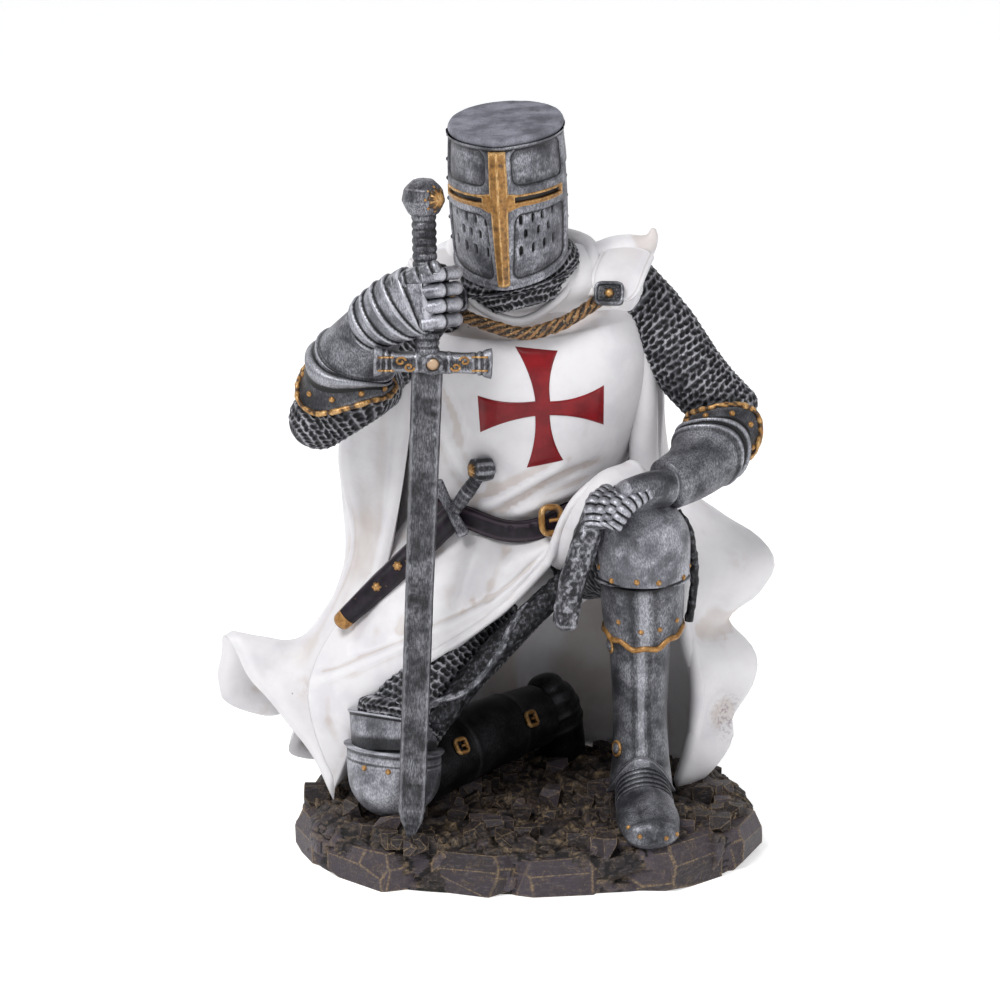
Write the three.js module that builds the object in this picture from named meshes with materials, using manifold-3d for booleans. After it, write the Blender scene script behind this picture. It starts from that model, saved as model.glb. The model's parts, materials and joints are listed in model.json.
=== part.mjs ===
// A kneeling knight: a painted resin figurine on a rock base, leaning on a long sword that stands before it.
// Millimetres, +Z up, the knight facing -Y. The origin is the middle of the base's flat underside.
import * as THREE from "three";
import { mergeVertices } from "three/addons/utils/BufferGeometryUtils.js";
import Module from "manifold-3d";

// Driving sizes.
const FIGURE_HEIGHT = 161.8; // from the ground that the knight kneels on to the middle of the helm's flat top
const FIGURE_SETBACK = -1.5; // how far behind the base's middle the figure stands
const BASE_WIDTH = 111;
const BASE_DEPTH = 90;
const GROUND = 11; // height of the ground above the base's underside
const CLOTH = 2.6; // thickness of the cloak where it hangs free
const BLADE_WIDTH = 7;
const BLADE_THICKNESS = 3.2;
const GRIP_RADIUS = 2.7;
const POMMEL_RADIUS = 4.7;
const GUARD_SPAN = 26;
const CLEARANCE = 0.3; // left between pieces that touch
const SOCKET_DEPTH = 3; // how far the sword's point goes into the ground

// The pose below is written with Z from the ground, and the figure's group scales it to its height.
const CROWN = [-5.25, -11, 161.8]; // the middle of the helm's flat top
const POSE_SCALE = FIGURE_HEIGHT / CROWN[2];

const RESIN_WHITE = new THREE.MeshStandardMaterial({ color: 0xe6e0d8, roughness: 0.55, metalness: 0 });
const STEEL_PAINT = new THREE.MeshStandardMaterial({ color: 0x76787c, roughness: 0.45, metalness: 0.6 });
const ROCK_PAINT = new THREE.MeshStandardMaterial({ color: 0x4c453f, roughness: 0.8, metalness: 0 });

const wasm = await Module();
wasm.setup();

const vec = (p) => new THREE.Vector3(p[0], p[1], p[2]);
const X = vec([1, 0, 0]);
const Y = vec([0, 1, 0]);
const Z = vec([0, 0, 1]);

// A closed geometry as a solid, turned so that its faces point outwards.
function solid(geometry) {
  const bare = geometry.index ? geometry.toNonIndexed() : geometry.clone();
  bare.deleteAttribute("normal");
  bare.deleteAttribute("uv");
  const merged = mergeVertices(bare, 1e-4);
  const vertProperties = new Float32Array(merged.attributes.position.array);
  const triVerts = new Uint32Array(merged.index.array);
  const make = () => new wasm.Manifold(new wasm.Mesh({ numProp: 3, vertProperties, triVerts }));
  const made = make();
  if (made.volume() > 0) return made;
  for (let i = 0; i < triVerts.length; i += 3) {
    [triVerts[i + 1], triVerts[i + 2]] = [triVerts[i + 2], triVerts[i + 1]];
  }
  return make();
}

// The geometry of a solid, for a mesh.
function geometryOf(body) {
  const mesh = body.getMesh();
  return new THREE.BufferGeometry()
    .setAttribute("position", new THREE.BufferAttribute(new Float32Array(mesh.vertProperties), 3))
    .setIndex(new THREE.BufferAttribute(new Uint32Array(mesh.triVerts), 1));
}

const join = (bodies) => bodies.reduce((whole, body) => whole.add(body));

// A smooth curve through rows of numbers, at t from 0 to 1.
function through(rows, t) {
  const at = Math.min(Math.max(t, 0), 1) * (rows.length - 1);
  const i = Math.min(Math.floor(at), rows.length - 2);
  const f = at - i;
  const [a, b] = [rows[i], rows[i + 1]];
  const before = rows[i - 1] ?? a.map((value, k) => 2 * value - b[k]);
  const after = rows[i + 2] ?? b.map((value, k) => 2 * value - a[k]);
  return a.map((value, k) => {
    const [p, q, r, s] = [before[k], value, b[k], after[k]];
    return q + 0.5 * f * (r - p + f * (2 * p - 5 * q + 4 * r - s + f * (3 * (q - r) + s - p)));
  });
}

const middle = (ring) => ring.reduce((sum, p) => sum.add(p), new THREE.Vector3()).divideScalar(ring.length);

// A closed surface over rings of points, each ring with as many points, with a fan to a tip at each end.
function loft(rings, tips = [middle(rings[0]), middle(rings.at(-1))]) {
  const sides = rings[0].length;
  const points = [...rings.flat(), ...tips];
  const faces = [];
  const top = (rings.length - 1) * sides;
  for (let i = 0; i < sides; i++) {
    const j = (i + 1) % sides;
    for (let k = 0; k < rings.length - 1; k++) {
      const [a, b] = [k * sides, (k + 1) * sides];
      faces.push(a + i, a + j, b + j, a + i, b + j, b + i);
    }
    faces.push(points.length - 2, j, i, points.length - 1, top + i, top + j);
  }
  return solid(new THREE.BufferGeometry().setFromPoints(points).setIndex(faces));
}

// A limb, roll or plate along a smooth path. Each station is [x, y, z, half width, half depth], the width
// lying along `across`. `dome` gives the length of each round end as a share of its smaller half size.
// `swell(turn, t)` scales the section, and `lean(turn, t)` moves its edge along the path, with turn 0 on the
// side of `across`.
function limb(stations, options = {}) {
  const { across = X, sides = 10, steps = 4, dome = [0.6, 0.6], swell = () => 1, lean = () => 0 } = options;
  const DOME_RING = Math.PI / 4;
  const at = (t) => {
    const [x, y, z, wide, deep] = through(stations, t);
    const along = vec(through(stations, t + 0.01)).sub(vec(through(stations, t - 0.01))).normalize();
    return { middle: new THREE.Vector3(x, y, z), along, wide, deep };
  };
  const ring = (t, reach, shrink) => {
    const { middle, along, wide, deep } = at(t);
    const side = across.clone().addScaledVector(along, -across.dot(along)).normalize();
    const out = along.clone().cross(side);
    return Array.from({ length: sides }, (_, i) => {
      const turn = (2 * Math.PI * i) / sides;
      const size = shrink * swell(turn, t);
      return middle
        .clone()
        .addScaledVector(along, reach + lean(turn, t))
        .addScaledVector(side, size * wide * Math.cos(turn))
        .addScaledVector(out, size * deep * Math.sin(turn));
    });
  };
  const rings = Array.from({ length: steps + 1 }, (_, k) => ring(k / steps, 0, 1));
  const tips = [0, 1].map((t) => {
    const { middle, along, wide, deep } = at(t);
    const reach = (2 * t - 1) * dome[t] * Math.min(wide, deep);
    if (dome[t]) rings[t ? "push" : "unshift"](ring(t, reach * Math.cos(DOME_RING), Math.sin(DOME_RING)));
    return middle.addScaledVector(along, reach);
  });
  return loft(rings, tips);
}

// A sheet of the given thickness about surface(u, v), with u and v from 0 to 1.
function sheet(surface, nu, nv, thickness) {
  const EDGE = 1e-3;
  const point = (u, v, offset) => {
    const du = surface(Math.min(u + EDGE, 1), v).sub(surface(Math.max(u - EDGE, 0), v));
    const dv = surface(u, Math.min(v + EDGE, 1)).sub(surface(u, Math.max(v - EDGE, 0)));
    return surface(u, v).addScaledVector(du.cross(dv).normalize(), offset);
  };
  const row = nv + 1;
  const back = (nu + 1) * row;
  const side = (offset) =>
    Array.from({ length: back }, (_, i) => point(Math.floor(i / row) / nu, (i % row) / nv, offset));
  const faces = [];
  const quad = (a, b, c, d) => faces.push(a, b, c, a, c, d);
  const edge = (a, b) => quad(a, b, back + b, back + a);
  for (let k = 0; k < nu; k++) {
    for (let j = 0; j < nv; j++) {
      const a = k * row + j;
      quad(a, a + 1, a + row + 1, a + row);
      quad(back + a, back + a + row, back + a + row + 1, back + a + 1);
    }
    edge(k * row, (k + 1) * row);
    edge((k + 1) * row + nv, k * row + nv);
  }
  for (let j = 0; j < nv; j++) {
    edge(j + 1, j);
    edge(nu * row + j, nu * row + j + 1);
  }
  const points = [...side(thickness / 2), ...side(-thickness / 2)];
  return solid(new THREE.BufferGeometry().setFromPoints(points).setIndex(faces));
}

const ball = ([x, y, z], [rx, ry, rz], turns = 9) =>
  solid(new THREE.SphereGeometry(1, turns, Math.round(turns * 0.7)).scale(rx, ry, rz).translate(x, y, z));

// A smooth curve through points, walked by its own length.
function walked(points) {
  const FINE = 60;
  const dense = Array.from({ length: FINE + 1 }, (_, i) => vec(through(points, i / FINE)));
  const reached = [0];
  for (let i = 1; i <= FINE; i++) reached.push(reached[i - 1] + dense[i].distanceTo(dense[i - 1]));
  return (t) => {
    const goal = t * reached[FINE];
    let i = 1;
    while (i < FINE && reached[i] < goal) i++;
    const share = (goal - reached[i - 1]) / (reached[i] - reached[i - 1]);
    return dense[i - 1].clone().lerp(dense[i], share).toArray();
  };
}

// Torso under the surcoat, from the hips to the neck: [x, y, z, half width, half depth]. The back runs on to
// the cloak.
const TORSO = [
  [-3, 17.5, 46, 24, 21.5],
  [-6, 15, 58, 25, 21.8],
  [-6, 14.2, 69, 23.5, 21.3],
  [-3, 12, 81, 25, 23],
  [0, 9.5, 93, 27, 24],
  [1.5, 7.7, 105, 28, 23.3],
  [1, 6.7, 116, 26, 20.3],
  [0, 4.4, 122.5, 19, 15.2],
];

// The mantle over both shoulders and the back of the neck.
const YOKE = [
  [-21, 3, 118.5, 7, 8.5],
  [-12, 1.5, 121.5, 8.5, 12],
  [0, 1, 122.5, 9, 14],
  [12, 1.5, 122.5, 8.5, 12],
  [22.5, 3, 120.5, 7, 8.5],
];

const yoke = () => limb(YOKE, { across: Z, sides: 8, steps: 4 });

function torso() {
  const drape = (turn, t) => {
    const front = Math.max(0, -Math.sin(turn)) ** 2;
    const low = Math.max(0, 1 - t * 1.6);
    return 1 + 0.028 * front * low * Math.sin(6 * turn + 9 * t);
  };
  return limb(TORSO, { sides: 18, steps: 6, dome: [0, 0.3], swell: drape });
}

// The cloak's fold lines from the neck down to the hem, from the knight's right round the back to the left.
const CLOAK_RIBS = [
  [[-17, -4, 130], [-26, 0, 118], [-27, -2, 90], [-32, -3, 60], [-42, -6, 28], [-45.5, -8, 1]],
  [[-18, -1, 131], [-30, 3, 119], [-36, 3, 86], [-37, 3, 58], [-46, -1, 32], [-50, -5, 10]],
  [[-18, 2, 131], [-31, 6, 119], [-40, 6, 84], [-39, 6, 58], [-48, 2, 36], [-57, -3, 19]],
  [[-18, 4, 131], [-31, 8, 119], [-42, 8, 84], [-39.5, 8, 58], [-50, 5, 37], [-64, 0, 28]],
  [[-18, 6, 131], [-31, 10, 119], [-42.5, 9, 84], [-40, 10, 56], [-52, 8, 35.5], [-71.3, 4, 37.5]],
  [[-17, 8, 131], [-31, 13, 119], [-42.5, 12, 84], [-40.5, 13, 54], [-53, 12, 33], [-73.4, 9, 30]],
  [[-16, 10, 131], [-30, 16, 119], [-41, 17, 84], [-40.5, 17, 51], [-52, 16, 30], [-70.5, 13, 20]],
  [[-14, 12, 131], [-28, 19, 119], [-39, 21, 84], [-40, 21, 47], [-49, 19, 27], [-64, 17, 14.5]],
  [[-12, 13, 131], [-25, 22, 119], [-36, 25, 84], [-39, 25, 43], [-45, 23, 22], [-56.5, 20, 14]],
  [[-10, 14, 131], [-21, 25, 119], [-30, 29, 84], [-35, 29, 42], [-43, 27, 18], [-53, 24, 2]],
  [[-5, 15, 131], [-12, 28, 119], [-19, 33, 84], [-25, 36, 40], [-36, 36, 0]],
  [[1, 15, 131], [0, 29, 119], [-2, 35, 84], [-6, 41, 40], [-13, 43, 0]],
  [[6, 14, 131], [11, 28, 119], [13, 34, 84], [13, 40, 40], [12, 43, 0]],
  [[9, 12, 131], [20, 24, 120], [24, 29, 84], [26, 34, 40], [30, 38, 0]],
  [[12, 9, 131], [26, 17, 121], [30, 21, 84], [34, 24, 40], [40, 26, 0]],
  [[13, 6, 130.5], [28, 11, 122], [31, 14, 84], [38, 12, 50], [42, 12, 22], [42, 14, 0]],
  [[14, 3, 130], [28, 7, 122], [30, 9, 96], [32, 8, 76], [36, 4, 58], [36.5, 2, 40], [39.5, 1, 28],
    [39.5, 1, 20], [38, 2, 11], [35.5, 3, 1]],
  [[14, 1, 129.5], [27.5, 5, 122.5], [30, 9, 96], [32, 10, 76], [44, 8, 62], [50, 6, 52], [44, 8, 40],
    [47, 4, 30], [45, 8, 18], [43, 4, 9], [37, 4, 0.5]],
  [[14, -2, 129], [27, 3, 123], [29.5, 9, 96], [31, 12, 76], [42, 15, 66.3], [55, 13, 59], [58.5, 10, 53.5],
    [55, 10, 47], [47.5, 14, 39.5], [54, 9, 33], [54, 8, 25.7], [48.8, 12, 16], [49, 8, 12], [44, 8, 5],
    [38, 8, 0]],
];
const CLOAK_FOLDS = { count: 6, depth: 2 };

// A surface through ribs, each walked by its own length: u runs from rib to rib and v along them.
function ribbed(points) {
  const ribs = points.map(walked);
  return (u, v) => vec(through(ribs.map((rib) => rib(v)), u));
}

function cloak() {
  const plain = ribbed(CLOAK_RIBS);
  const folded = (u, v) => {
    const point = plain(u, v);
    const away = vec([point.x, point.y - 5, 0]).normalize();
    const depth = CLOAK_FOLDS.depth * v * Math.sin(Math.PI * u) ** 2;
    return point.addScaledVector(away, depth * Math.cos(2 * Math.PI * CLOAK_FOLDS.count * u));
  };
  return sheet(folded, 24, 13, CLOTH / POSE_SCALE);
}

// The surcoat's skirt over the right thigh, as cuts from the split at the front round to the side. Each cut
// runs belt, middle, crease, hem, under the hem and the core of the hips.
const SKIRT_CUTS = [
  [[10, -4, 69], [8, -10, 66], [5.5, -12, 62.5], [4.5, -12, 58.5], [5, -7, 57], [4, 6, 56]],
  [[-2, -6, 66], [-4.5, -13, 60], [-6.7, -16, 52], [-6.5, -15.5, 48.5], [-5, -10, 47.5], [0, 8, 50]],
  [[-13, -6, 67], [-18, -13, 57], [-22.4, -18, 44.2], [-22.4, -17, 38], [-19, -12, 37], [-6, 10, 46]],
  [[-22, -1, 69], [-30, -10, 54], [-38, -15, 36.3], [-37, -15.5, 27], [-33, -11, 26], [-14, 12, 40]],
  [[-25, 6, 71], [-38, -2, 53], [-51, -9, 30], [-46, -10, 8], [-42, -6, 7], [-20, 14, 34]],
];

function skirt() {
  const STEPS = 8;
  const SPLITS = 11;
  const rings = [];
  for (let k = 0; k <= STEPS; k++) {
    const cut = SKIRT_CUTS[0].map((_, j) => through(SKIRT_CUTS.map((c) => c[j]), k / STEPS));
    rings.push(Array.from({ length: SPLITS }, (_, i) => vec(through([...cut, cut[0]], i / SPLITS))));
  }
  return loft(rings);
}

// The helm, on an axis that leans forward and a little to the knight's right. `sight` is how far round from
// the face the two eye slits start and end, in degrees, and `dip` how much lower the front of the foot hangs.
// The profile is [share of the height, half width, half depth].
const HELM = { foot: [-3.75, -6.5, 131.4], crown: CROWN, turn: -8, rim: 0.5, sight: [16, 66], dip: 4 };
const HELM_TALL = vec(HELM.crown).distanceTo(vec(HELM.foot));
const HELM_PROFILE = [
  [0, 12.5, 15.2],
  [0.35, 13, 16],
  [0.7, 12.95, 15.8],
  [1, 12.3, 15],
];

// A point on the helm: the angle from the face towards the knight's left in degrees, the share of its height
// and how far out it stands.
function helmPoint(angle, share, out = 0) {
  const turn = THREE.MathUtils.degToRad(angle);
  const [, wide, deep] = through(HELM_PROFILE, share);
  const keel = 1.2 * Math.exp(-((angle / 15) ** 2));
  const dip = -HELM.dip * Math.max(0, Math.cos(turn)) * (1 - share);
  const height = share * HELM_TALL + dip;
  return vec([(wide + out) * Math.sin(turn), -(deep + keel + out) * Math.cos(turn), height]);
}

function helmFrame() {
  const up = vec(HELM.crown).sub(vec(HELM.foot)).normalize();
  const side = X.clone().applyAxisAngle(Z, THREE.MathUtils.degToRad(HELM.turn));
  side.addScaledVector(up, -side.dot(up)).normalize();
  return new THREE.Matrix4().makeBasis(side, up.clone().cross(side), up).setPosition(vec(HELM.foot));
}

// A raised or cut patch on the helm between two angles and two shares of its height.
function helmPatch([from, to], [low, high], [inner, outer]) {
  const STEPS = Math.max(2, Math.round(Math.abs(to - from) / 15));
  const rings = Array.from({ length: STEPS + 1 }, (_, k) => {
    const angle = from + ((to - from) * k) / STEPS;
    const corners = [[low, inner], [high, inner], [high, outer], [low, outer]];
    return corners.map(([share, out]) => helmPoint(angle, share, out));
  });
  return loft(rings);
}

function helm() {
  const SIDES = 20;
  const angles = Array.from({ length: SIDES }, (_, i) => (360 * i) / SIDES);
  const levels = [[0, 0], [0.33, 0], [0.66, 0], [0.945, 0], [0.95, HELM.rim], [1, HELM.rim]];
  const shell = loft(levels.map(([share, out]) => angles.map((angle) => helmPoint(angle, share, out))));
  const upright = helmPatch([-8, 10], [0.01, 0.93], [-2, 1]);
  const brow = helmPatch([-HELM.sight[1] - 4, HELM.sight[1] + 4], [0.47, 0.66], [-2, 0.7]);
  const slits = [-1, 1].map((side) => helmPatch(HELM.sight.map((a) => a * side), [0.56, 0.6], [-1, 2]));
  const carved = slits.reduce((body, slit) => body.subtract(slit), upright.add(brow).add(shell));
  return carved.transform(helmFrame().elements);
}

const COIF = [
  [-4.5, -5, 135, 12.5, 13.5],
  [-3.5, -4.5, 130, 14, 16],
  [-2.5, -3.5, 124.5, 13.5, 16],
  [-1.5, -4.5, 118.5, 8, 12],
];

const coif = () => limb(COIF, { sides: 10, steps: 3, dome: [0, 0.6] });

// Sleeves from shoulder to elbow. The right one hangs fuller under the raised forearm.
const RIGHT_ARM = [[-18, 4, 117.5, 9, 9], [-30, 0, 109, 8.7, 8.7], [-41, -7, 99, 8, 8],
  [-47.5, -11, 94.5, 6.8, 6.8]];
const RIGHT_ELBOW = [[-35, -7, 101.7, 7.2, 7.6], [-40, -14, 99.3, 7.4, 7.6], [-47.5, -15, 94, 7, 7]];
const LEFT_ARM = [[20, 5, 121, 9, 9.5], [30, 3.5, 111.5, 8, 8.5], [39, 1, 100, 7.5, 7.7],
  [47, -1, 92, 7.2, 7.2]];
const RIGHT_CUFF = [[-40.9, -17, 103.5, 11, 9.5], [-40.2, -18, 106.8, 10.2, 8.8], [-38.5, -19, 110, 9, 8],
  [-34.5, -23.5, 117, 6.8, 6]];
const LEFT_CUFF = [[44.5, -7, 88, 9, 9.4], [41, -11, 85, 8.3, 8.6], [37, -16, 82, 6.8, 7],
  [31.5, -21, 80, 6, 5.6]];

// The cuffs flare to a point over the elbow, with two stepped bands behind the rim.
const CUFF = { point: 6, band: 0.05, bands: 2.5 };
const cuffSwell = (_, t) =>
  1 + CUFF.band * Math.max(0, Math.cos(2 * Math.PI * CUFF.bands * t)) * Math.max(0, 1 - 2 * t);
const cuffLean = (peak) => (turn, t) => -CUFF.point * (1 - t) * Math.max(0, Math.cos(turn - peak)) ** 2;

function arms() {
  const cuff = { sides: 12, steps: 5, dome: [0, 0], swell: cuffSwell };
  return [
    limb(RIGHT_ARM, { across: Y, steps: 3 }),
    limb(RIGHT_ELBOW, { across: Y, sides: 8, steps: 2, dome: [0.3, 1] }),
    limb(LEFT_ARM, { across: Y, steps: 3 }),
    limb(RIGHT_CUFF, { ...cuff, across: X, lean: cuffLean(1.23 * Math.PI) }),
    limb(LEFT_CUFF, { ...cuff, across: Z, lean: cuffLean(-0.35 * Math.PI) }),
  ];
}

const FIST = [[-36.5, -25.5, 117.5, 6.2, 4.8], [-31, -31, 121.5, 7.4, 5], [-25.5, -34, 124.5, 7.6, 5],
  [-22, -35.5, 125, 7.2, 3.6]];
const PALM = [[31, -22, 79.5, 5.6, 4], [26, -25, 79, 7.2, 3.8], [21, -27, 78, 7.6, 3.2]];
const FINGERS = 4;

function hands() {
  const lames = (_, t) => 1 + 0.05 * ((t * 4) % 1);
  const bodies = [
    limb(FIST, { across: Z, sides: 9, steps: 6, dome: [0, 0.3], swell: lames }),
    limb(PALM, { across: vec([0.4, -0.6, 0.6]).normalize(), sides: 8, steps: 2 }),
  ];
  const finger = { sides: 5, steps: 3, dome: [0, 0.4] };
  for (let i = 0; i < FINGERS; i++) {
    const rise = 5.4 - 3.5 * i;
    const spread = FINGERS - 1 - i;
    const round = [[-24, -37.4, 125], [-19, -36.8, 125.6], [-16.4, -33.6, 125.4], [-18.6, -29.6, 124.6]];
    const lying = [
      [27 - 3 * i, -25 - 1.5 * spread, 80.5 - 0.3 * i],
      [22 - 2.5 * i, -30 - spread, 77.5],
      [19 - 1.6 * i, -32 - 0.7 * spread, 73.5],
    ];
    bodies.push(limb(round.map(([x, y, z]) => [x, y, z + rise, 1.8, 1.8]), { ...finger, across: Z }));
    bodies.push(limb(lying.map((p) => [...p, 1.8, 1.7]), { ...finger, across: X }));
  }
  return bodies;
}

const LEFT_THIGH = [[8, 16, 55, 13, 12], [17, -2, 60, 12, 11], [25, -17, 63, 11, 11]];
const RIGHT_THIGH = [[-2, 14, 52, 13, 13], [-12, 2, 42, 11.5, 12], [-23, -9, 31, 10.5, 11],
  [-31, -15, 19, 9.5, 9.5]];
const LEFT_POLEYN = [[25.8, -17, 74, 7.5, 7.5], [26, -18, 69, 10.6, 10.6], [26, -18, 63, 11, 11],
  [26, -18, 57.5, 10.6, 10.8]];
const LEFT_LAME = [[26, -17.5, 58, 9.8, 10], [26.3, -16.5, 50, 9.4, 9.6], [26.5, -16, 45.5, 9, 9]];
const GREAVE = [[25.5, -14, 50, 7.6, 8.5], [25.8, -13, 38, 6.9, 8], [26, -12.5, 24, 6.3, 7.4],
  [26.2, -13, 14, 6.6, 8], [26.3, -14, 5, 7.6, 9.5]];
const SABATON = [[26.2, -12, 5, 6, 6.5], [26.6, -22, 5.5, 6.4, 6.5], [27.4, -32, 3.6, 7.4, 4.6],
  [28, -38, 1.8, 5.6, 2.8]];
const RIGHT_CUP = [[-31, -17, 3, 6.5, 6], [-31, -18, 7, 10, 9.6], [-31, -18, 12, 10.9, 10.6],
  [-31, -17.5, 17, 10.9, 10.6]];
const RIGHT_LAME = [[-31, -17, 16, 9.8, 9.8], [-31, -14, 25.5, 10.4, 10]];
const RIGHT_SHIN = [[-28, -12, 9, 9, 8.5], [-12, 6, 12, 8.5, 8.5], [2, 22, 13, 7.5, 7.5]];
const RIGHT_BOOT = [[9, 31, 2, 5.5, 6], [6.5, 28, 11, 7, 7], [5, 26, 17, 6.4, 6.4],
  [4.5, 25.5, 19.5, 4.5, 4.5]];
const MAIL_FOLD = [[17, -20, 76, 3.4, 3.4], [12.5, -24, 66, 3.2, 3.2], [9.5, -25, 56, 3, 3.2],
  [8.4, -24.5, 48.5, 2.9, 3]];
const LAP = [[6, -6, 64, 5, 4], [9.5, -12, 68, 4.5, 4.5], [16, -16, 75, 4.5, 4.5], [24, -12, 78, 6, 4]];
const THIGH_HEM = [[13, -10, 58, 3, 4], [1, -14, 48, 3, 4.5], [-9, -16, 38, 3, 4.5], [-21, -19, 24, 3.4, 4]];

const ridge = (turn) => 1 + 0.08 * Math.max(0, Math.sin(turn)) ** 8;
const pointed = (depth) => (turn, t) => depth * t * Math.max(0, Math.sin(turn)) ** 3;
const toeLames = (_, t) => 1 + 0.05 * ((t * 4) % 1);

function legs() {
  return [
    limb(LEFT_THIGH, { steps: 2, dome: [0, 0] }),
    limb(RIGHT_THIGH, { steps: 2, dome: [0, 0] }),
    limb(LEFT_POLEYN, { sides: 12, steps: 3, dome: [0.6, 0] }),
    limb(LEFT_LAME, { sides: 12, steps: 2, dome: [0, 0], lean: pointed(2.4) }),
    limb(GREAVE, { sides: 12, dome: [0, 0], swell: ridge }),
    limb(SABATON, { sides: 9, steps: 6, dome: [0, 0.7], swell: toeLames }),
    limb(RIGHT_CUP, { sides: 12, steps: 3, dome: [0, 0] }),
    limb(RIGHT_LAME, { sides: 12, steps: 1, dome: [0, 0] }),
    limb(RIGHT_SHIN, { steps: 3, dome: [0, 0] }),
    limb(RIGHT_BOOT, { sides: 8, steps: 3 }),
    limb(MAIL_FOLD, { sides: 6, dome: [0, 0.6] }),
    limb(LAP, { sides: 6, steps: 3 }),
    limb(THIGH_HEM, { sides: 6, steps: 3, dome: [0, 0.6] }),
  ];
}

const BELT = [[-24, 1, 70], [-17, -6.5, 70], [-5.5, -9.5, 66.5], [3, -9, 67], [9.5, -6, 70], [16, 0, 72]];
const CORD = [[-14.5, -12.5, 118.5], [-9, -15, 116], [-1, -16.5, 114], [7, -15.5, 116], [14, -12.5, 120]];
const SCABBARD = [[-17, -9, 70], [-26, -10, 61.4], [-35, -10.8, 53], [-43, -9.6, 45]];
const DAGGER_GRIP = [[-11.2, -12.4, 80.2], [-17, -10.6, 71.6]];
const DAGGER_GUARD = [[-21, -9.5, 77.8], [-15, -11.4, 66.2]];
const TABS = [
  [[23, -2, 130, 6, 2], [20.5, -9, 126, 6, 2], [18.3, -13, 120.5, 5.4, 1.8]],
  [[-22, -2, 129, 6, 2], [-19, -9, 125, 6, 2], [-17, -13, 119, 5.4, 1.8]],
];
const sized = (points, ...sizes) => points.map((p) => [...p, ...sizes]);

function dress() {
  return [
    limb(sized(BELT, 2.1, 1.6), { across: Z, sides: 6, steps: 7, dome: [0, 0] }),
    limb(sized(CORD, 1.5, 1.5), { across: Z, sides: 6, steps: 7, dome: [0, 0] }),
    limb(sized(SCABBARD, 1.9, 2.7), { across: Y, sides: 8, steps: 3, dome: [0, 0.6] }),
    limb(sized(DAGGER_GRIP, 1.4, 1.4), { across: Y, sides: 6, steps: 1, dome: [0, 0] }),
    limb(sized(DAGGER_GUARD, 1.3, 1.3), { across: Y, sides: 6, steps: 1, dome: [0.5, 0.5] }),
    ball([-10.4, -12.6, 81.6], [2.9, 1.8, 2.9], 8),
    ...TABS.map((tab) => limb(tab, { sides: 8, steps: 2 })),
  ];
}

// The sword stands upright, from its point in the ground to the pommel's middle.
const SWORD = { point: [-26.8, -36, 0], guard: [-22.6, -33, 110.5], pommel: [-23.4, -31.5, 147] };

function sword(extra = 0) {
  const [point, guard, pommel] = [SWORD.point, SWORD.guard, SWORD.pommel].map(vec);
  const blade = (share) => point.clone().lerp(guard, share).toArray();
  const below = point.clone().lerp(guard, -(SOCKET_DEPTH / POSE_SCALE + extra) / point.distanceTo(guard));
  const wide = BLADE_WIDTH / 2 / POSE_SCALE + extra;
  const deep = BLADE_THICKNESS / 2 / POSE_SCALE + extra;
  const grip = GRIP_RADIUS / POSE_SCALE + extra;
  const round = POMMEL_RADIUS / POSE_SCALE + extra;
  const span = GUARD_SPAN / 2 / POSE_SCALE + extra;
  const tapered = [
    [...below.toArray(), wide * 0.35, deep * 0.5],
    [...blade(0.05), wide * 0.85, deep * 0.95],
    [...blade(0.5), wide * 0.92, deep],
    [...guard.toArray(), wide, deep],
  ];
  const crosspiece = [-1, -2 / 3, -1 / 3, 0, 1 / 3, 2 / 3, 1].map((share) => {
    const flare = 2 + 1.1 * share ** 4 + 0.5 * (1 - Math.abs(share)) ** 2 + extra;
    return [guard.x + 1.2 + share * span, guard.y, guard.z - 0.3 * share, flare, 2.3 + extra];
  });
  const bevelled = (turn) => 1 + 0.22 * Math.sin(2 * turn) ** 2 - 0.08 * Math.sin(turn) ** 8;
  return join([
    limb(tapered, { sides: 8, steps: 2, dome: [0, 0], swell: bevelled }),
    limb(crosspiece, { across: Z, sides: 8, steps: 6, dome: [0, 0] }),
    limb([[...guard.toArray(), grip, grip], [...pommel.toArray(), grip, grip]], {
      sides: 8,
      steps: 1,
      dome: [0, 0],
    }),
    ball(pommel.toArray(), [round, round, round]),
  ]);
}

// A repeatable number from 0 to 1 for the i-th stone.
function rough(i, seed) {
  const wave = Math.sin(i * 12.9898 + seed * 78.233) * 43758.5453;
  return wave - Math.floor(wave);
}

// How far the base reaches in a direction, as a share of its half width and half depth.
const SQUARENESS = 2.6;
const reachAt = (turn) =>
  1 / (Math.abs(Math.cos(turn)) ** SQUARENESS + Math.abs(Math.sin(turn)) ** SQUARENESS) ** (1 / SQUARENESS);

function slab() {
  const SIDES = 22;
  const level = (k, share, height, lumps) =>
    Array.from({ length: SIDES }, (_, i) => {
      const turn = (2 * Math.PI * i) / SIDES;
      const reach = share * reachAt(turn) * (1 - 0.03 * rough(i, k + 5));
      const z = height + lumps * (rough(i, k + 9) - 0.5);
      return vec([(BASE_WIDTH / 2) * reach * Math.cos(turn), (BASE_DEPTH / 2) * reach * Math.sin(turn), z]);
    });
  return loft([
    level(1, 0.94, 0, 0),
    level(2, 0.95, GROUND * 0.6, 1),
    level(3, 0.9, GROUND * 0.9, 1.4),
    level(4, 0.75, GROUND + 0.2, 1.6),
    level(5, 0.45, GROUND, 1),
  ]);
}

// Broken stones set round the edge, each a block with a flat underside.
const STONES = 13;

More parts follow.
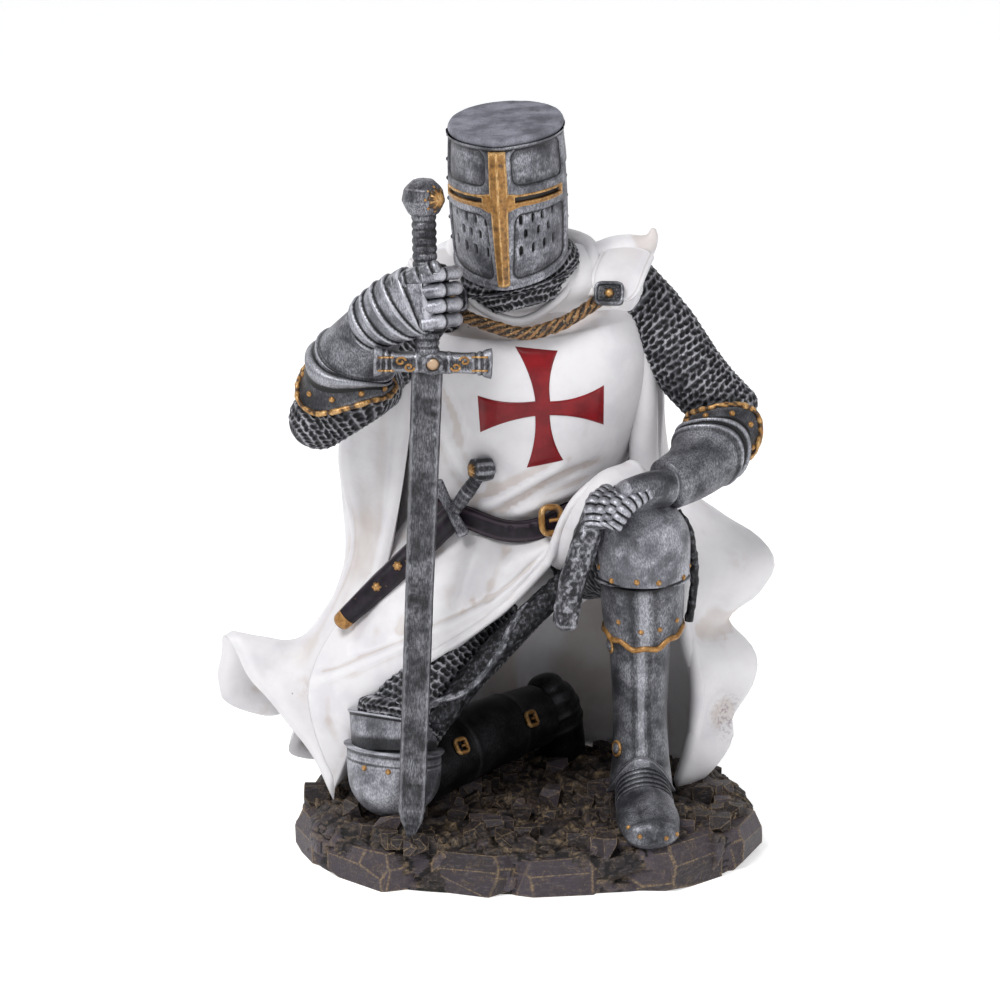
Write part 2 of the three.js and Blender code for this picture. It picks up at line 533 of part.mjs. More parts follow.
function stones() {
  return Array.from({ length: STONES }, (_, i) => {
    const CORNERS = 5;
    const turn = (2 * Math.PI * (i + 0.35 * rough(i, 1))) / STONES;
    const [reachX, reachY] = [(BASE_WIDTH / 2) * reachAt(turn), (BASE_DEPTH / 2) * reachAt(turn)];
    const [x, y] = [0.82 * reachX * Math.cos(turn), 0.82 * reachY * Math.sin(turn)];
    const outwards = Math.atan2(y / BASE_DEPTH, x / BASE_WIDTH);
    const deep = 0.17 * Math.hypot(reachX * Math.cos(turn), reachY * Math.sin(turn));
    const long = BASE_WIDTH * (0.12 + 0.04 * rough(i, 6));
    const tall = GROUND * (0.5 + 0.4 * rough(i, 2));
    const ring = (share, z) =>
      Array.from({ length: CORNERS }, (_, j) => {
        const angle = (2 * Math.PI * (j + 0.5 + 0.3 * (rough(i * CORNERS + j, 3) - 0.5))) / CORNERS;
        const [a, b] = [1.1 * deep * share * Math.cos(angle), long * share * Math.sin(angle)];
        const tilt = z ? 1.4 * (rough(i * CORNERS + j, 5) - 0.5) : 0;
        return vec([
          x + a * Math.cos(outwards) - b * Math.sin(outwards),
          y + a * Math.sin(outwards) + b * Math.cos(outwards),
          z + tilt,
        ]);
      });
    return loft([ring(0.97, 0), ring(1, tall * 0.7), ring(0.8, tall + 1)]);
  });
}

const figurePlace = new THREE.Matrix4()
  .makeScale(POSE_SCALE, POSE_SCALE, POSE_SCALE)
  .setPosition(0, FIGURE_SETBACK, GROUND);
const gap = CLEARANCE / POSE_SCALE;

const swordBody = sword();
const swordRoom = sword(gap);
const baseWhole = join([slab(), ...stones()]);
const baseRoom = baseWhole.translate([0, 0, CLEARANCE]).transform(figurePlace.clone().invert().elements);
const clothes = [torso(), yoke(), cloak(), skirt(), ...dress()];
const armour = [helm(), coif(), ...arms(), ...hands(), ...legs()];
const knightBody = join([...clothes, ...armour]).subtract(swordRoom).subtract(baseRoom);
const baseBody = baseWhole.subtract(swordRoom.transform(figurePlace.elements));

function named(name, body, material) {
  const mesh = new THREE.Mesh(geometryOf(body), material);
  mesh.name = name;
  return mesh;
}

const figure = new THREE.Group();
figure.scale.setScalar(POSE_SCALE);
figure.position.set(0, FIGURE_SETBACK, GROUND);
figure.add(named("knight", knightBody, RESIN_WHITE), named("sword", swordBody, STEEL_PAINT));

const statue = new THREE.Group();
statue.add(figure, named("rock_base", baseBody, ROCK_PAINT));
export default statue;
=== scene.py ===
"""A kneeling knight: a painted resin figurine on a rock base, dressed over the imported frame.

Shapes are written in pose millimetres: +Z up from the ground, the knight facing -Y, as the solids are.
"""
import json
import math
from itertools import combinations

import bmesh
import bpy
import numpy as np
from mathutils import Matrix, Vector
from mathutils.bvhtree import BVHTree

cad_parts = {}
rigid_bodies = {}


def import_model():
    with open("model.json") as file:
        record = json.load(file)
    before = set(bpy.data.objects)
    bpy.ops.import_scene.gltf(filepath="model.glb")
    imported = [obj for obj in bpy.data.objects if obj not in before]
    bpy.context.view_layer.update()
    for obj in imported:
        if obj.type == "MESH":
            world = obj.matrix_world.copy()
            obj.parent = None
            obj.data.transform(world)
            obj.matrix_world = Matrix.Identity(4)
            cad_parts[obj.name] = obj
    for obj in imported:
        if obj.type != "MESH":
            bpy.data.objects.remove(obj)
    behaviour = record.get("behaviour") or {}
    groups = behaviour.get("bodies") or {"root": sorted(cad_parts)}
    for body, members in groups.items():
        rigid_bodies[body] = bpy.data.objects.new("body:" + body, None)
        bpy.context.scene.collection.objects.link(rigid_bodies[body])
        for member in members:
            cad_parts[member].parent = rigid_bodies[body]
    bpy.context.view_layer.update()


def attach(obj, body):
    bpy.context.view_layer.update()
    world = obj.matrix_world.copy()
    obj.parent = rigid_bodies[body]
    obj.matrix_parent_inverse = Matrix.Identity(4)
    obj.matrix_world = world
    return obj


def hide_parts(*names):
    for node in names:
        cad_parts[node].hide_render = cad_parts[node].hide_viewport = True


for unused in list(bpy.data.objects):
    bpy.data.objects.remove(unused)
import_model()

GROUND = 11.0  # height of the ground above the base's underside
FIGURE_Y = -1.5  # where the pose's origin lies, in front of the base's middle
POSE_ORIGIN = np.array([0, FIGURE_Y, GROUND])
CLOTH = 2.6  # thickness of the cloak
GUARD_SPAN = 26.0
BASE_WIDTH = 111.0
BASE_DEPTH = 90.0
CURVE_STEPS = 400  # places worked out along a curve, to set even paces on it
X, Y, Z = np.eye(3)
TAU = 2 * math.pi
rng = np.random.default_rng(7)


# Shapes.
def through(rows, t):
    """A smooth curve through rows of numbers, at t from 0 to 1."""
    rows = np.asarray(rows, float)
    rows = np.concatenate((2 * rows[:1] - rows[1:2], rows, 2 * rows[-1:] - rows[-2:-1]))
    at = np.clip(t, 0, 1) * (len(rows) - 3)
    i = np.minimum(at.astype(int), len(rows) - 4)
    f = (at - i).reshape(at.shape + (1,) * (rows.ndim - 1))
    p, q, r, s = (rows[i + k] for k in range(4))
    return q + 0.5 * f * (r - p + f * (2 * p - 5 * q + 4 * r - s + f * (3 * (q - r) + s - p)))


def unit(v):
    return v / np.maximum(np.linalg.norm(v, axis=-1, keepdims=True), 1e-9)


def smooth(low, high, value):
    t = np.clip((value - low) / (high - low), 0, 1)
    return t * t * (3 - 2 * t)


def bump(value, width):
    return np.exp(-((value / width) ** 2))


def front(turn, power):
    """1 where a standing limb faces the front, fading to 0 at its sides."""
    return np.clip(np.sin(turn), 0, None) ** power


def squared(turn, power):
    """How far out a rounded square lies at a turn, with 1 in the middles of its sides."""
    return (np.abs(np.cos(turn)) ** power + np.abs(np.sin(turn)) ** power) ** (-1 / power)


def hashed(*cells, seed=0):
    """A repeatable number from 0 to 1 for each lattice cell."""
    total = sum(c * k for c, k in zip(cells, (127.1, 311.7, 74.7))) + seed * 53.13
    wave = np.sin(total) * 43758.5453
    return wave - np.floor(wave)


def lumps(points, size, seed=0):
    """Smooth noise from -1 to 1 over points, with lumps about as large as size."""
    p = np.asarray(points, float) / size
    cell = np.floor(p)
    f = p - cell
    f = f * f * (3 - 2 * f)
    total = 0
    for corner in np.ndindex(2, 2, 2):
        weight = np.prod(np.where(corner, f, 1 - f), axis=-1)
        total = total + weight * hashed(*np.moveaxis(cell + corner, -1, 0), seed=seed)
    return 2 * total - 1


def stones_near(points, size, seed=0):
    """For each point: its place from the nearest seed, how near a joint is, and a number for the seed."""
    p = np.asarray(points, float) / size
    cell = np.floor(p)
    first = np.full(p.shape[:-1], 9.0)
    second = first.copy()
    tone = first.copy()
    away = np.zeros(p.shape)
    for step in np.ndindex(3, 3, 3):
        home = cell + (np.array(step) - 1)
        keys = np.moveaxis(home, -1, 0)
        seedling = home + np.stack([hashed(*keys, seed=seed + k) for k in range(3)], -1)
        gap = np.linalg.norm(p - seedling, axis=-1)
        closer = gap < first
        second = np.where(closer, first, np.minimum(second, gap))
        tone = np.where(closer, hashed(*keys, seed=seed + 7), tone)
        away = np.where(closer[..., None], p - seedling, away)
        first = np.where(closer, gap, first)
    return away * size, (second - first) * size, tone


def shattered(points, size, slope, seed):
    """Heights of a field of tilted flat chips, 1 near each chip's edge, and a number for each chip."""
    away, joint, tone = stones_near(points, size, seed)
    lean = TAU * 9 * tone
    height = slope * (away[..., 0] * np.cos(lean) + away[..., 1] * np.sin(lean)) + 0.12 * size * (tone - 0.5)
    return height - 0.1 * size * (1 - smooth(0, 0.35, joint)), bump(joint - 0.4, 0.2), tone


class Grid:
    """A surface as rows of points in pose millimetres. A wrapped one closes round each row."""

    def __init__(self, points, wrap=False, tips=None, flip=False):
        self.points = np.array(points, float)
        self.wrap = wrap
        self.tips = tips or [None, None]
        self.flip = flip
        self.marks = {}
        self.turn = self.along = self.share = None

    def slopes(self):
        if self.wrap:
            across = (np.roll(self.points, -1, 1) - np.roll(self.points, 1, 1)) / 2
        else:
            across = np.gradient(self.points, axis=1)
        return np.gradient(self.points, axis=0), across

    def normals(self):
        along, across = self.slopes()
        return unit(np.cross(across, along) * (-1 if self.flip else 1))

    def raise_by(self, height):
        self.points = self.points + self.normals() * np.asarray(height)[..., None]
        return self

    def roughen(self, *noises):
        """Raises the surface by some noises, each a height, the size of its lumps and a seed."""
        return self.raise_by(sum(height * lumps(self.points, size, seed) for height, size, seed in noises))

    def blurred(self, steps):
        """The points averaged with their neighbours within some steps."""
        def one(values, axis, wrap):
            pad = [(0, 0)] * 3
            pad[axis] = (steps, steps)
            manner = {"mode": "wrap"} if wrap else {"mode": "reflect", "reflect_type": "odd"}
            wide = np.pad(values, pad, **manner)
            sums = np.cumsum(np.insert(wide, 0, 0, axis), axis)
            n = values.shape[axis]
            upper = np.take(sums, range(2 * steps + 1, 2 * steps + 1 + n), axis)
            return (upper - np.take(sums, range(n), axis)) / (2 * steps + 1)
        return one(one(self.points, 0, False), 1, self.wrap)

    def hollows(self, *reaches):
        """Marks where the surface is hollow, above 0, or proud, below 0, at some reaches in millimetres."""
        along, across = self.slopes()
        pace = (np.linalg.norm(along, axis=-1).mean() + np.linalg.norm(across, axis=-1).mean()) / 2
        normals = self.normals()
        total = 0
        for reach in reaches:
            steps = int(np.clip(round(reach / pace), 1, min(self.points.shape[:2]) // 2 - 1))
            depth = ((self.blurred(steps) - self.points) * normals).sum(-1)
            total = total + depth / (0.12 * reach)
        self.marks["hollow"] = np.clip(total - np.median(total), -1, 1)
        return self


def straight(shares, stations, count):
    """Stations at even shares of the way, straight between those that are given."""
    return np.array([np.interp(np.linspace(0, 1, count), shares, row) for row in np.transpose(stations)]).T


def limb(stations, across, around, along, ends=(0.6, 0.6), swell=None, lean=None, span=(0, 1)):
    """A limb, roll or plate along stations of [x, y, z, half width, half depth], with round ends."""
    even = np.linspace(*span, CURVE_STEPS)
    dense = through(stations, even)
    run = np.concatenate(([0], np.cumsum(np.linalg.norm(np.diff(dense[:, :3], axis=0), axis=1))))
    caps = [ends[k] * min(dense[-k, 3:]) for k in range(2)]
    paces = [max(2, int(round(along * 1.3 * cap / run[-1]))) if cap else 0 for cap in caps]
    bends = [np.linspace(0, math.pi / 2, n, endpoint=False)[1:] if n else np.zeros(0) for n in paces]
    t = np.interp(np.linspace(0, run[-1], along + 1), run, even)
    t = np.concatenate((np.full(len(bends[0]), span[0]), t, np.full(len(bends[1]), span[1])))
    before, after = bends[0][::-1], bends[1]
    reach = np.concatenate((-caps[0] * np.sin(before), np.zeros(along + 1), caps[1] * np.sin(after)))
    shrink = np.concatenate((np.cos(before), np.ones(along + 1), np.cos(after)))
    at = through(stations, t)
    ahead = unit(through(stations, t + 0.01)[:, :3] - through(stations, t - 0.01)[:, :3])
    side = unit(across - ahead * (ahead @ across)[:, None])
    out = np.cross(ahead, side)
    turn = TAU * np.arange(around) / around
    size = shrink[:, None] * (swell(turn[None], t[:, None]) if swell else 1)
    push = reach[:, None] + (lean(turn[None], t[:, None]) if lean else 0)
    rings = (
        at[:, None, :3]
        + ahead[:, None] * push[..., None]
        + side[:, None] * (size * at[:, 3:4] * np.cos(turn))[..., None]
        + out[:, None] * (size * at[:, 4:5] * np.sin(turn))[..., None]
    )
    tips = [at[0, :3] - ahead[0] * caps[0], at[-1, :3] + ahead[-1] * caps[1]]
    grid = Grid(rings, wrap=True, tips=tips)
    grid.turn = np.broadcast_to(turn, rings.shape[:2])
    grid.share = np.broadcast_to(t[:, None], rings.shape[:2])
    grid.along = np.broadcast_to((np.interp(t, even, run) + reach)[:, None], rings.shape[:2])
    return grid


def bead(path, radius, around, closed=False, swell=None):
    """A round bead along a path of points."""
    path = np.asarray(path, float)
    ahead = np.roll(path, -1, 0) - np.roll(path, 1, 0) if closed else np.gradient(path, axis=0)
    ahead = unit(ahead)
    side = unit(np.cross(ahead, unit(Z + 0.37 * X + 0.11 * Y)))
    out = np.cross(ahead, side)
    turn = TAU * np.arange(around) / around
    scale = swell(np.linspace(0, 1, len(path))) if swell else 1
    size = np.broadcast_to(radius * scale, len(path))
    rings = (
        path[:, None]
        + side[:, None] * (size[:, None] * np.cos(turn))[..., None]
        + out[:, None] * (size[:, None] * np.sin(turn))[..., None]
    )
    if closed:
        return Grid(np.concatenate((rings, rings[:1])), wrap=True)
    return Grid(rings, wrap=True, tips=[path[0], path[-1]])


# Meshes.
def faces_of(grid, start):
    """The quads and triangles of a grid whose points begin at a vertex number."""
    rows, columns = grid.points.shape[:2]
    index = start + np.arange(rows * columns).reshape(rows, columns)
    near, far = (index, np.roll(index, -1, 1)) if grid.wrap else (index[:, :-1], index[:, 1:])
    quads = np.stack([near[:-1], far[:-1], far[1:], near[1:]], -1).reshape(-1, 4)
    tip = start + rows * columns
    fans = [np.zeros((0, 3), int)]
    if grid.tips[0] is not None:
        fans.append(np.stack([np.full(columns, tip), far[0], near[0]], -1))
        tip += 1
    if grid.tips[1] is not None:
        fans.append(np.stack([np.full(columns, tip), near[-1], far[-1]], -1))
    triangles = np.concatenate(fans)
    if grid.flip:
        quads, triangles = quads[:, ::-1], triangles[:, ::-1]
    return quads, triangles


def gathered(grids):
    """The points, quads, triangles and marks of some grids, as those of one mesh."""
    points, quads, triangles = [], [], []
    marks = {mark: [] for mark in sorted({mark for grid in grids for mark in grid.marks})}
    count = 0
    for grid in grids:
        q, t = faces_of(grid, count)
        quads.append(q)
        triangles.append(t)
        ends = [k for k in (0, 1) if grid.tips[k] is not None]
        for mark in marks:
            values = np.broadcast_to(grid.marks.get(mark, 0.0), grid.points.shape[:2])
            marks[mark].append(values.reshape(-1))
            marks[mark].append(np.array([values[-k].mean() for k in ends]))
        points.append(grid.points.reshape(-1, 3))
        points += [np.reshape(grid.tips[k], (1, 3)) for k in ends]
        count += grid.points[..., 0].size + len(ends)
    points, quads, triangles = map(np.concatenate, (points, quads, triangles))
    return points, quads, triangles, {mark: np.concatenate(values) for mark, values in marks.items()}


def mesh_of(name, grids, rounded):
    """One mesh from some grids, shaded round or flat, with a number at each point for each mark."""
    points, quads, triangles, marks = gathered(grids)
    mesh = bpy.data.meshes.new(name)
    corners = np.concatenate((quads.reshape(-1), triangles.reshape(-1)))
    starts = np.concatenate((np.arange(len(quads)) * 4, len(quads) * 4 + np.arange(len(triangles)) * 3))
    mesh.vertices.add(len(points))
    mesh.loops.add(len(corners))
    mesh.polygons.add(len(starts))
    mesh.vertices.foreach_set("co", ((points + POSE_ORIGIN) / 1000).reshape(-1))
    mesh.loops.foreach_set("vertex_index", corners.astype(np.int32))
    mesh.polygons.foreach_set("loop_start", starts.astype(np.int32))
    mesh.update(calc_edges=True)
    mesh.validate()
    mesh.polygons.foreach_set("use_smooth", np.full(len(mesh.polygons), rounded))
    for mark, values in marks.items():
        layer = mesh.attributes.new(mark, "FLOAT", "POINT")
        layer.data.foreach_set("value", values.astype(np.float32))
    return mesh


def make(name, grids, paint, node="knight", welded=False):
    """One piece of the figurine from some grids, riding on the frame in place of a solid."""
    mesh = mesh_of(name, grids if isinstance(grids, list) else [grids], not welded)
    if welded:
        shape = bmesh.new()
        shape.from_mesh(mesh)
        bmesh.ops.remove_doubles(shape, verts=shape.verts, dist=1e-6)
        shape.to_mesh(mesh)
        shape.free()
    mesh.materials.append(paint)
    piece = bpy.data.objects.new(name, mesh)
    bpy.context.scene.collection.objects.link(piece)
    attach(piece, "root")
    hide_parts(node)
    return piece


class Skin:
    """Finds places on a finished piece, in pose millimetres."""

    def __init__(self, piece):
        corners = [v.co * 1000 - Vector(POSE_ORIGIN) for v in piece.data.vertices]
        self.tree = BVHTree.FromPolygons(corners, [list(p.vertices) for p in piece.data.polygons])

    def nearest(self, point):
        place, normal, _, _ = self.tree.find_nearest(Vector(point))
        return np.array(place), np.array(normal)

    def behind(self, point):
        """The place straight behind a point, and the way out of the piece there."""
        place, normal, _, _ = self.tree.ray_cast(Vector(point), Vector(Y))
        if place is None:
            return self.nearest(point)
        return np.array(place), np.array(normal)

    def pressed(self, points, lift):
        """Points moved straight back on to the piece, then lifted off it."""
        places, normals = zip(*(self.behind(p) for p in points.reshape(-1, 3)))
        return (np.array(places) + np.reshape(lift, (-1, 1)) * np.array(normals)).reshape(points.shape)


# Paints.
class Value:
    """A shader value that takes part in arithmetic: each operator adds its Math node."""

    def __init__(self, paint, socket):
        self.paint = paint
        self.socket = socket

    def math(self, operation, *others, clamp=False):
        inputs = dict(enumerate((self, *others)))
        node = self.paint.add("Math", {"operation": operation, "use_clamp": clamp}, inputs)
        return Value(self.paint, node.outputs[0])

    def __add__(self, other):
        return self.math("ADD", other)

    __radd__ = __add__

    def __mul__(self, other):
        return self.math("MULTIPLY", other)

    __rmul__ = __mul__

    def __sub__(self, other):
        return self.math("SUBTRACT", other)

    def __rsub__(self, other):
        node = self.paint.add("Math", {"operation": "SUBTRACT"}, {0: other, 1: self})
        return Value(self.paint, node.outputs[0])

    def clamped(self):
        return self.math("ADD", 0.0, clamp=True)

    def between(self, low, high):
        """0 below low, 1 above high, and smooth between."""
        settings = {"interpolation_type": "SMOOTHSTEP"}
        node = self.paint.add("MapRange", settings, {"Value": self, "From Min": low, "From Max": high})
        return Value(self.paint, node.outputs[0])


class Paint:
    """One procedural paint, as a material."""

    def __init__(self, name):
        self.material = bpy.data.materials.new(name)
        self.material.use_nodes = True
        self.tree = self.material.node_tree
        self.tree.nodes.clear()
        self.place = Value(self, self.add("TexCoord").outputs["Object"])

    def add(self, kind, settings=None, inputs=None):
        node = self.tree.nodes.new("ShaderNode" + kind)
        for key, value in (settings or {}).items():
            setattr(node, key, value)
        for key, value in (inputs or {}).items():
            if isinstance(value, Value):
                self.tree.links.new(value.socket, node.inputs[key])
            else:
                node.inputs[key].default_value = value
        return node

    def mark(self, name):
        """A number that the mesh carries at each point."""
        return Value(self, self.add("Attribute", {"attribute_name": name}).outputs["Fac"])

    def stretched(self, x, y, z):
        node = self.add("Mapping", None, {"Vector": self.place, "Scale": (x, y, z)})
        return Value(self, node.outputs[0])

    def noise(self, millimetres, detail=3.0, rough=0.55, place=None):
        """Noise about 0.5 with spots of some millimetres."""
        inputs = {
            "Vector": place or self.place,
            "Scale": 1000 / millimetres,
            "Detail": detail,
            "Roughness": rough,
        }
        return Value(self, self.add("TexNoise", None, inputs).outputs["Fac"])

    def specks(self, millimetres, size):
        """1 inside small scattered specks."""
        inputs = {"Vector": self.place, "Scale": 1000 / millimetres}
        spots = Value(self, self.add("TexVoronoi", None, inputs).outputs["Distance"])
        return 1 - spots.between(size * 0.7, size)

    def mix(self, factor, first, second):
        """A colour between two colours."""
        node = self.add("Mix", {"data_type": "RGBA"}, {0: factor})
        for socket, colour in ((node.inputs[6], first), (node.inputs[7], second)):
            if isinstance(colour, Value):
                self.tree.links.new(colour.socket, socket)
            else:
                socket.default_value = (*colour, 1)
        return Value(self, node.outputs[2])

    def finish(self, colour, roughness, metallic=0.0, height=None, relief=0.1, **constants):
        """Joins the paint to its shader. relief is the height of the fine bumps, in millimetres."""
        inputs = {"Base Color": colour, "Roughness": roughness, "Metallic": metallic}
        inputs.update({key.replace("_", " "): value for key, value in constants.items()})
        if height is not None:
            node = self.add("Bump", None, {"Strength": 1.0, "Distance": relief / 1000, "Height": height})
            inputs["Normal"] = Value(self, node.outputs[0])
        shader = self.add("BsdfPrincipled", None, inputs)
        end = self.add("OutputMaterial")
        self.tree.links.new(shader.outputs[0], end.inputs[0])
        return self.material


SOOT = (0.004, 0.004, 0.005)


def white_cloth_paint():
    paint = Paint("white cloth paint")
    hollow = paint.mark("hollow")
    patches = paint.noise(9, 4)
    fine = paint.noise(1.3, 3)
    colour = paint.mix(patches.between(0.38, 0.7), (0.70, 0.685, 0.70), (0.63, 0.61, 0.635))
    shade = (hollow.between(0.05, 0.95) * (0.2 + 1.0 * patches)).clamped()
    colour = paint.mix(shade * 0.5, colour, (0.40, 0.30, 0.23))
    # Darker towards brown: real stains, and painted shade where the belt, cord, scabbard, buckle and brooches
    # lie on the cloth, along a chest crease and inside the collar roll.
    dirt_and_shade = (paint.mark("stain") * paint.noise(2.4, 6, 0.7).between(0.38, 0.72)).clamped()
    colour = paint.mix(dirt_and_shade * 0.5, colour, (0.36, 0.21, 0.12))
    dots = paint.specks(6.5, 0.05) * paint.noise(15, 2).between(0.5, 0.6)
    colour = paint.mix(dots * 0.7, colour, (0.17, 0.09, 0.06))
    spray = (paint.mark("spray") * paint.noise(0.9, 3).between(0.5, 0.62)).clamped()
    colour = paint.mix(spray * 0.55, colour, (0.12, 0.05, 0.11))
    # Lightens proud places; on the cloak this includes a painted highlight along the folds' ridges.
    edge = (0 - hollow).between(0.3, 1.0)
    colour = paint.mix(edge * 0.35, colour, (0.80, 0.785, 0.80))
    rough = 0.38 + 0.2 * patches
    return paint.finish(colour, rough, 0.0, 0.6 * fine + patches, 0.12)


def mail_paint():
    paint = Paint("dark mail paint")
    link = paint.mark("link")
    brushed = paint.noise(5, 4, 0.6).between(0.3, 0.62)
    fine = paint.noise(0.45, 3, 0.6)
    silver = (link.between(0.5, 0.95) * (0.2 + 0.8 * brushed) * (0.2 + 1.5 * fine)).clamped()
    colour = paint.mix(link.between(0.1, 0.55), (0.003, 0.003, 0.004), (0.030, 0.031, 0.037))
    colour = paint.mix(silver * 0.85, colour, (0.43, 0.43, 0.46))
    return paint.finish(colour, 0.45, 0.25, fine, 0.06, Specular_IOR_Level=0.3)


def rough_iron_paint():
    paint = Paint("rough dark iron paint")
    hollow = paint.mark("hollow")
    scratches = paint.noise(0.5, 4, 0.7, paint.stretched(1, 1, 0.35))
    proud = (0 - hollow).between(-0.15, 0.8)
    silver = ((0.15 + proud) * scratches.between(0.46, 0.62)).clamped()
    colour = paint.mix(hollow.between(-0.3, 0.4), (0.020, 0.021, 0.025), SOOT)
    colour = paint.mix(silver * 0.26, colour, (0.30, 0.30, 0.33))
    return paint.finish(colour, 0.48, 0.25, scratches, 0.25, Specular_IOR_Level=0.3)


def steel_paint(name, depth, silver, grain=(1, 1, 0.4), metal=0.6, dull=0.36):
    """Dark paint with silver brushed dryly over it along one way, and black in what is sunk, including
    painted shade on the knee plates.
    """
    paint = Paint(name)
    hollow = paint.mark("hollow")
    scratches = paint.noise(0.3, 3, 0.62, paint.stretched(*grain))
    patches = paint.noise(6.5, 5, 0.62)
    pits = paint.noise(0.5, 2)
    base = paint.mix(patches.between(0.3, 0.7), depth, tuple(2.4 * c for c in depth))
    worn = (0.25 + scratches.between(0.38, 0.66)) * (0.12 + 0.9 * patches.between(0.36, 0.68))
    proud = (0 - hollow).between(0.15, 0.8)
    shine = ((worn + proud * (0.25 + 0.8 * scratches)) * silver).clamped()
    colour = paint.mix(shine, base, (0.46, 0.463, 0.505))
    colour = paint.mix((pits.between(0.62, 0.72) * 0.5).clamped(), colour, (0.02, 0.02, 0.024))
    sunk = (hollow.between(0.1, 0.6) * (0.85 - 0.4 * scratches) + paint.mark("sunk")).clamped()
    colour = paint.mix(sunk, colour, SOOT)
    rough = dull + 0.14 * pits
    metallic = metal - metal * sunk
    relief = scratches + 0.5 * pits
    return paint.finish(colour, rough, metallic, relief, 0.05, Specular_IOR_Level=0.3)


def gold_paint():
    paint = Paint("old gold paint")
    hollow = paint.mark("hollow")
    rubbed = paint.noise(1.1, 5, 0.7)
    streaks = paint.noise(0.4, 2, 0.6, paint.stretched(1, 1, 0.4))
    colour = paint.mix(rubbed.between(0.32, 0.68), (0.19, 0.088, 0.022), (0.42, 0.215, 0.062))
    shine = ((0 - hollow).between(0.15, 0.8) * streaks.between(0.35, 0.6)).clamped()
    colour = paint.mix(shine * 0.55, colour, (0.78, 0.52, 0.24))
    colour = paint.mix(paint.specks(2.6, 0.1) * 0.6, colour, (0.05, 0.022, 0.010))
    sunk = (hollow.between(0.05, 0.55) * 0.85 + paint.mark("sunk")).clamped()
    colour = paint.mix(sunk, colour, (0.012, 0.006, 0.004))
    return paint.finish(colour, 0.40, 0.4 - 0.35 * sunk, rubbed, 0.09)


def braid_paint():
    paint = Paint("gold brown braid paint")
    hollow = paint.mark("hollow")
    strands = paint.noise(0.55, 4, 0.65)
    colour = paint.mix((0 - hollow).between(-0.25, 0.6), (0.010, 0.005, 0.003), (0.23, 0.11, 0.035))
    colour = paint.mix(strands.between(0.5, 0.7) * 0.7, colour, (0.55, 0.36, 0.17))
    colour = paint.mix(paint.noise(2.5, 3).between(0.5, 0.65) * 0.6, colour, (0.03, 0.014, 0.008))
    return paint.finish(colour, 0.45, 0.15, strands, 0.2)


def red_paint():
    paint = Paint("glossy red paint")
    patches = paint.noise(4, 3)
    colour = paint.mix(patches.between(0.35, 0.7), (0.21, 0.006, 0.010), (0.14, 0.004, 0.007))
    colour = paint.mix(paint.noise(1.2, 4, 0.7).between(0.62, 0.75) * 0.2, colour, (0.36, 0.07, 0.07))
    return paint.finish(colour, 0.28 + 0.1 * patches, 0.0, patches, 0.05, Specular_IOR_Level=0.3)


def leather_paint():
    paint = Paint("dark leather paint")
    hollow = paint.mark("hollow")
    patches = paint.noise(2.5, 4)
    colour = paint.mix(patches.between(0.35, 0.7), (0.007, 0.005, 0.008), (0.019, 0.013, 0.021))
    colour = paint.mix((0 - hollow).between(0.3, 0.95) * 0.4, colour, (0.085, 0.06, 0.075))
    colour = paint.mix(paint.specks(3.0, 0.07) * 0.6, colour, (0.18, 0.11, 0.06))
    return paint.finish(colour, 0.33 + 0.15 * patches, 0.0, patches, 0.08, Specular_IOR_Level=0.25)


def rock_paint():
    paint = Paint("dark rock paint")
    hollow = paint.mark("hollow")
    tint = paint.mark("tint")
    patches = paint.noise(3.5, 5, 0.6)
    fine = paint.noise(0.55, 4, 0.65)
    streaks = paint.noise(0.9, 3, 0.6, paint.stretched(0.5, 0.5, 1.6))
    colour = paint.mix(tint.between(0.2, 0.8), (0.016, 0.012, 0.013), (0.062, 0.050, 0.062))
    colour = paint.mix(streaks.between(0.5, 0.7) * 0.55, colour, (0.105, 0.090, 0.100))
    colour = paint.mix(patches.between(0.35, 0.75) * 0.35, colour, (0.035, 0.024, 0.018))
    veins = 1 - (paint.noise(5, 4, 0.55) - 0.5).math("ABSOLUTE").between(0.005, 0.022)
    lines = 1 - (paint.noise(2.6, 3, 0.5) - 0.52).math("ABSOLUTE").between(0.006, 0.025)
    rubbed = 0.15 + 1.3 * fine.between(0.35, 0.7) * patches.between(0.3, 0.55)
    edge = ((paint.mark("edge") + 0.3 * veins + 0.15 * lines) * rubbed).clamped()
    colour = paint.mix(edge * 0.8, colour, (0.27, 0.19, 0.105))
    sunk = hollow.between(0.1, 0.7)
    colour = paint.mix(sunk * 0.9, colour, (0.004, 0.003, 0.003))
    return paint.finish(colour, 0.45 + 0.2 * fine, 0.0, fine + 0.5 * patches, 0.3, Specular_IOR_Level=0.3)


def pearl_paint():
    paint = Paint("pearl paint")
    patches = paint.noise(2.0, 3)
    colour = paint.mix(patches, (0.30, 0.17, 0.09), (0.55, 0.40, 0.27))
    return paint.finish(colour, 0.25 + 0.1 * patches, 0.0, patches, 0.05)


WHITE = white_cloth_paint()
MAIL = mail_paint()
IRON = rough_iron_paint()
STEEL = steel_paint("brushed steel paint", (0.028, 0.029, 0.034), 0.52)
BLACK_STEEL = steel_paint("blackened steel paint", (0.012, 0.012, 0.015), 0.5)
# Near-black paint for the lower leg, also used as painted shade inside the fist.
BLACK_LEG_AND_SHADE = steel_paint("black leg paint and painted shade", (0.0022, 0.0021, 0.0025), 0.07)
ROUGH_STEEL = steel_paint("rough steel paint", (0.016, 0.016, 0.019), 0.55)
BLADE_STEEL = steel_paint("mottled blade paint", (0.011, 0.011, 0.013), 0.32, (1, 1, 0.25), 0.12, 0.45)
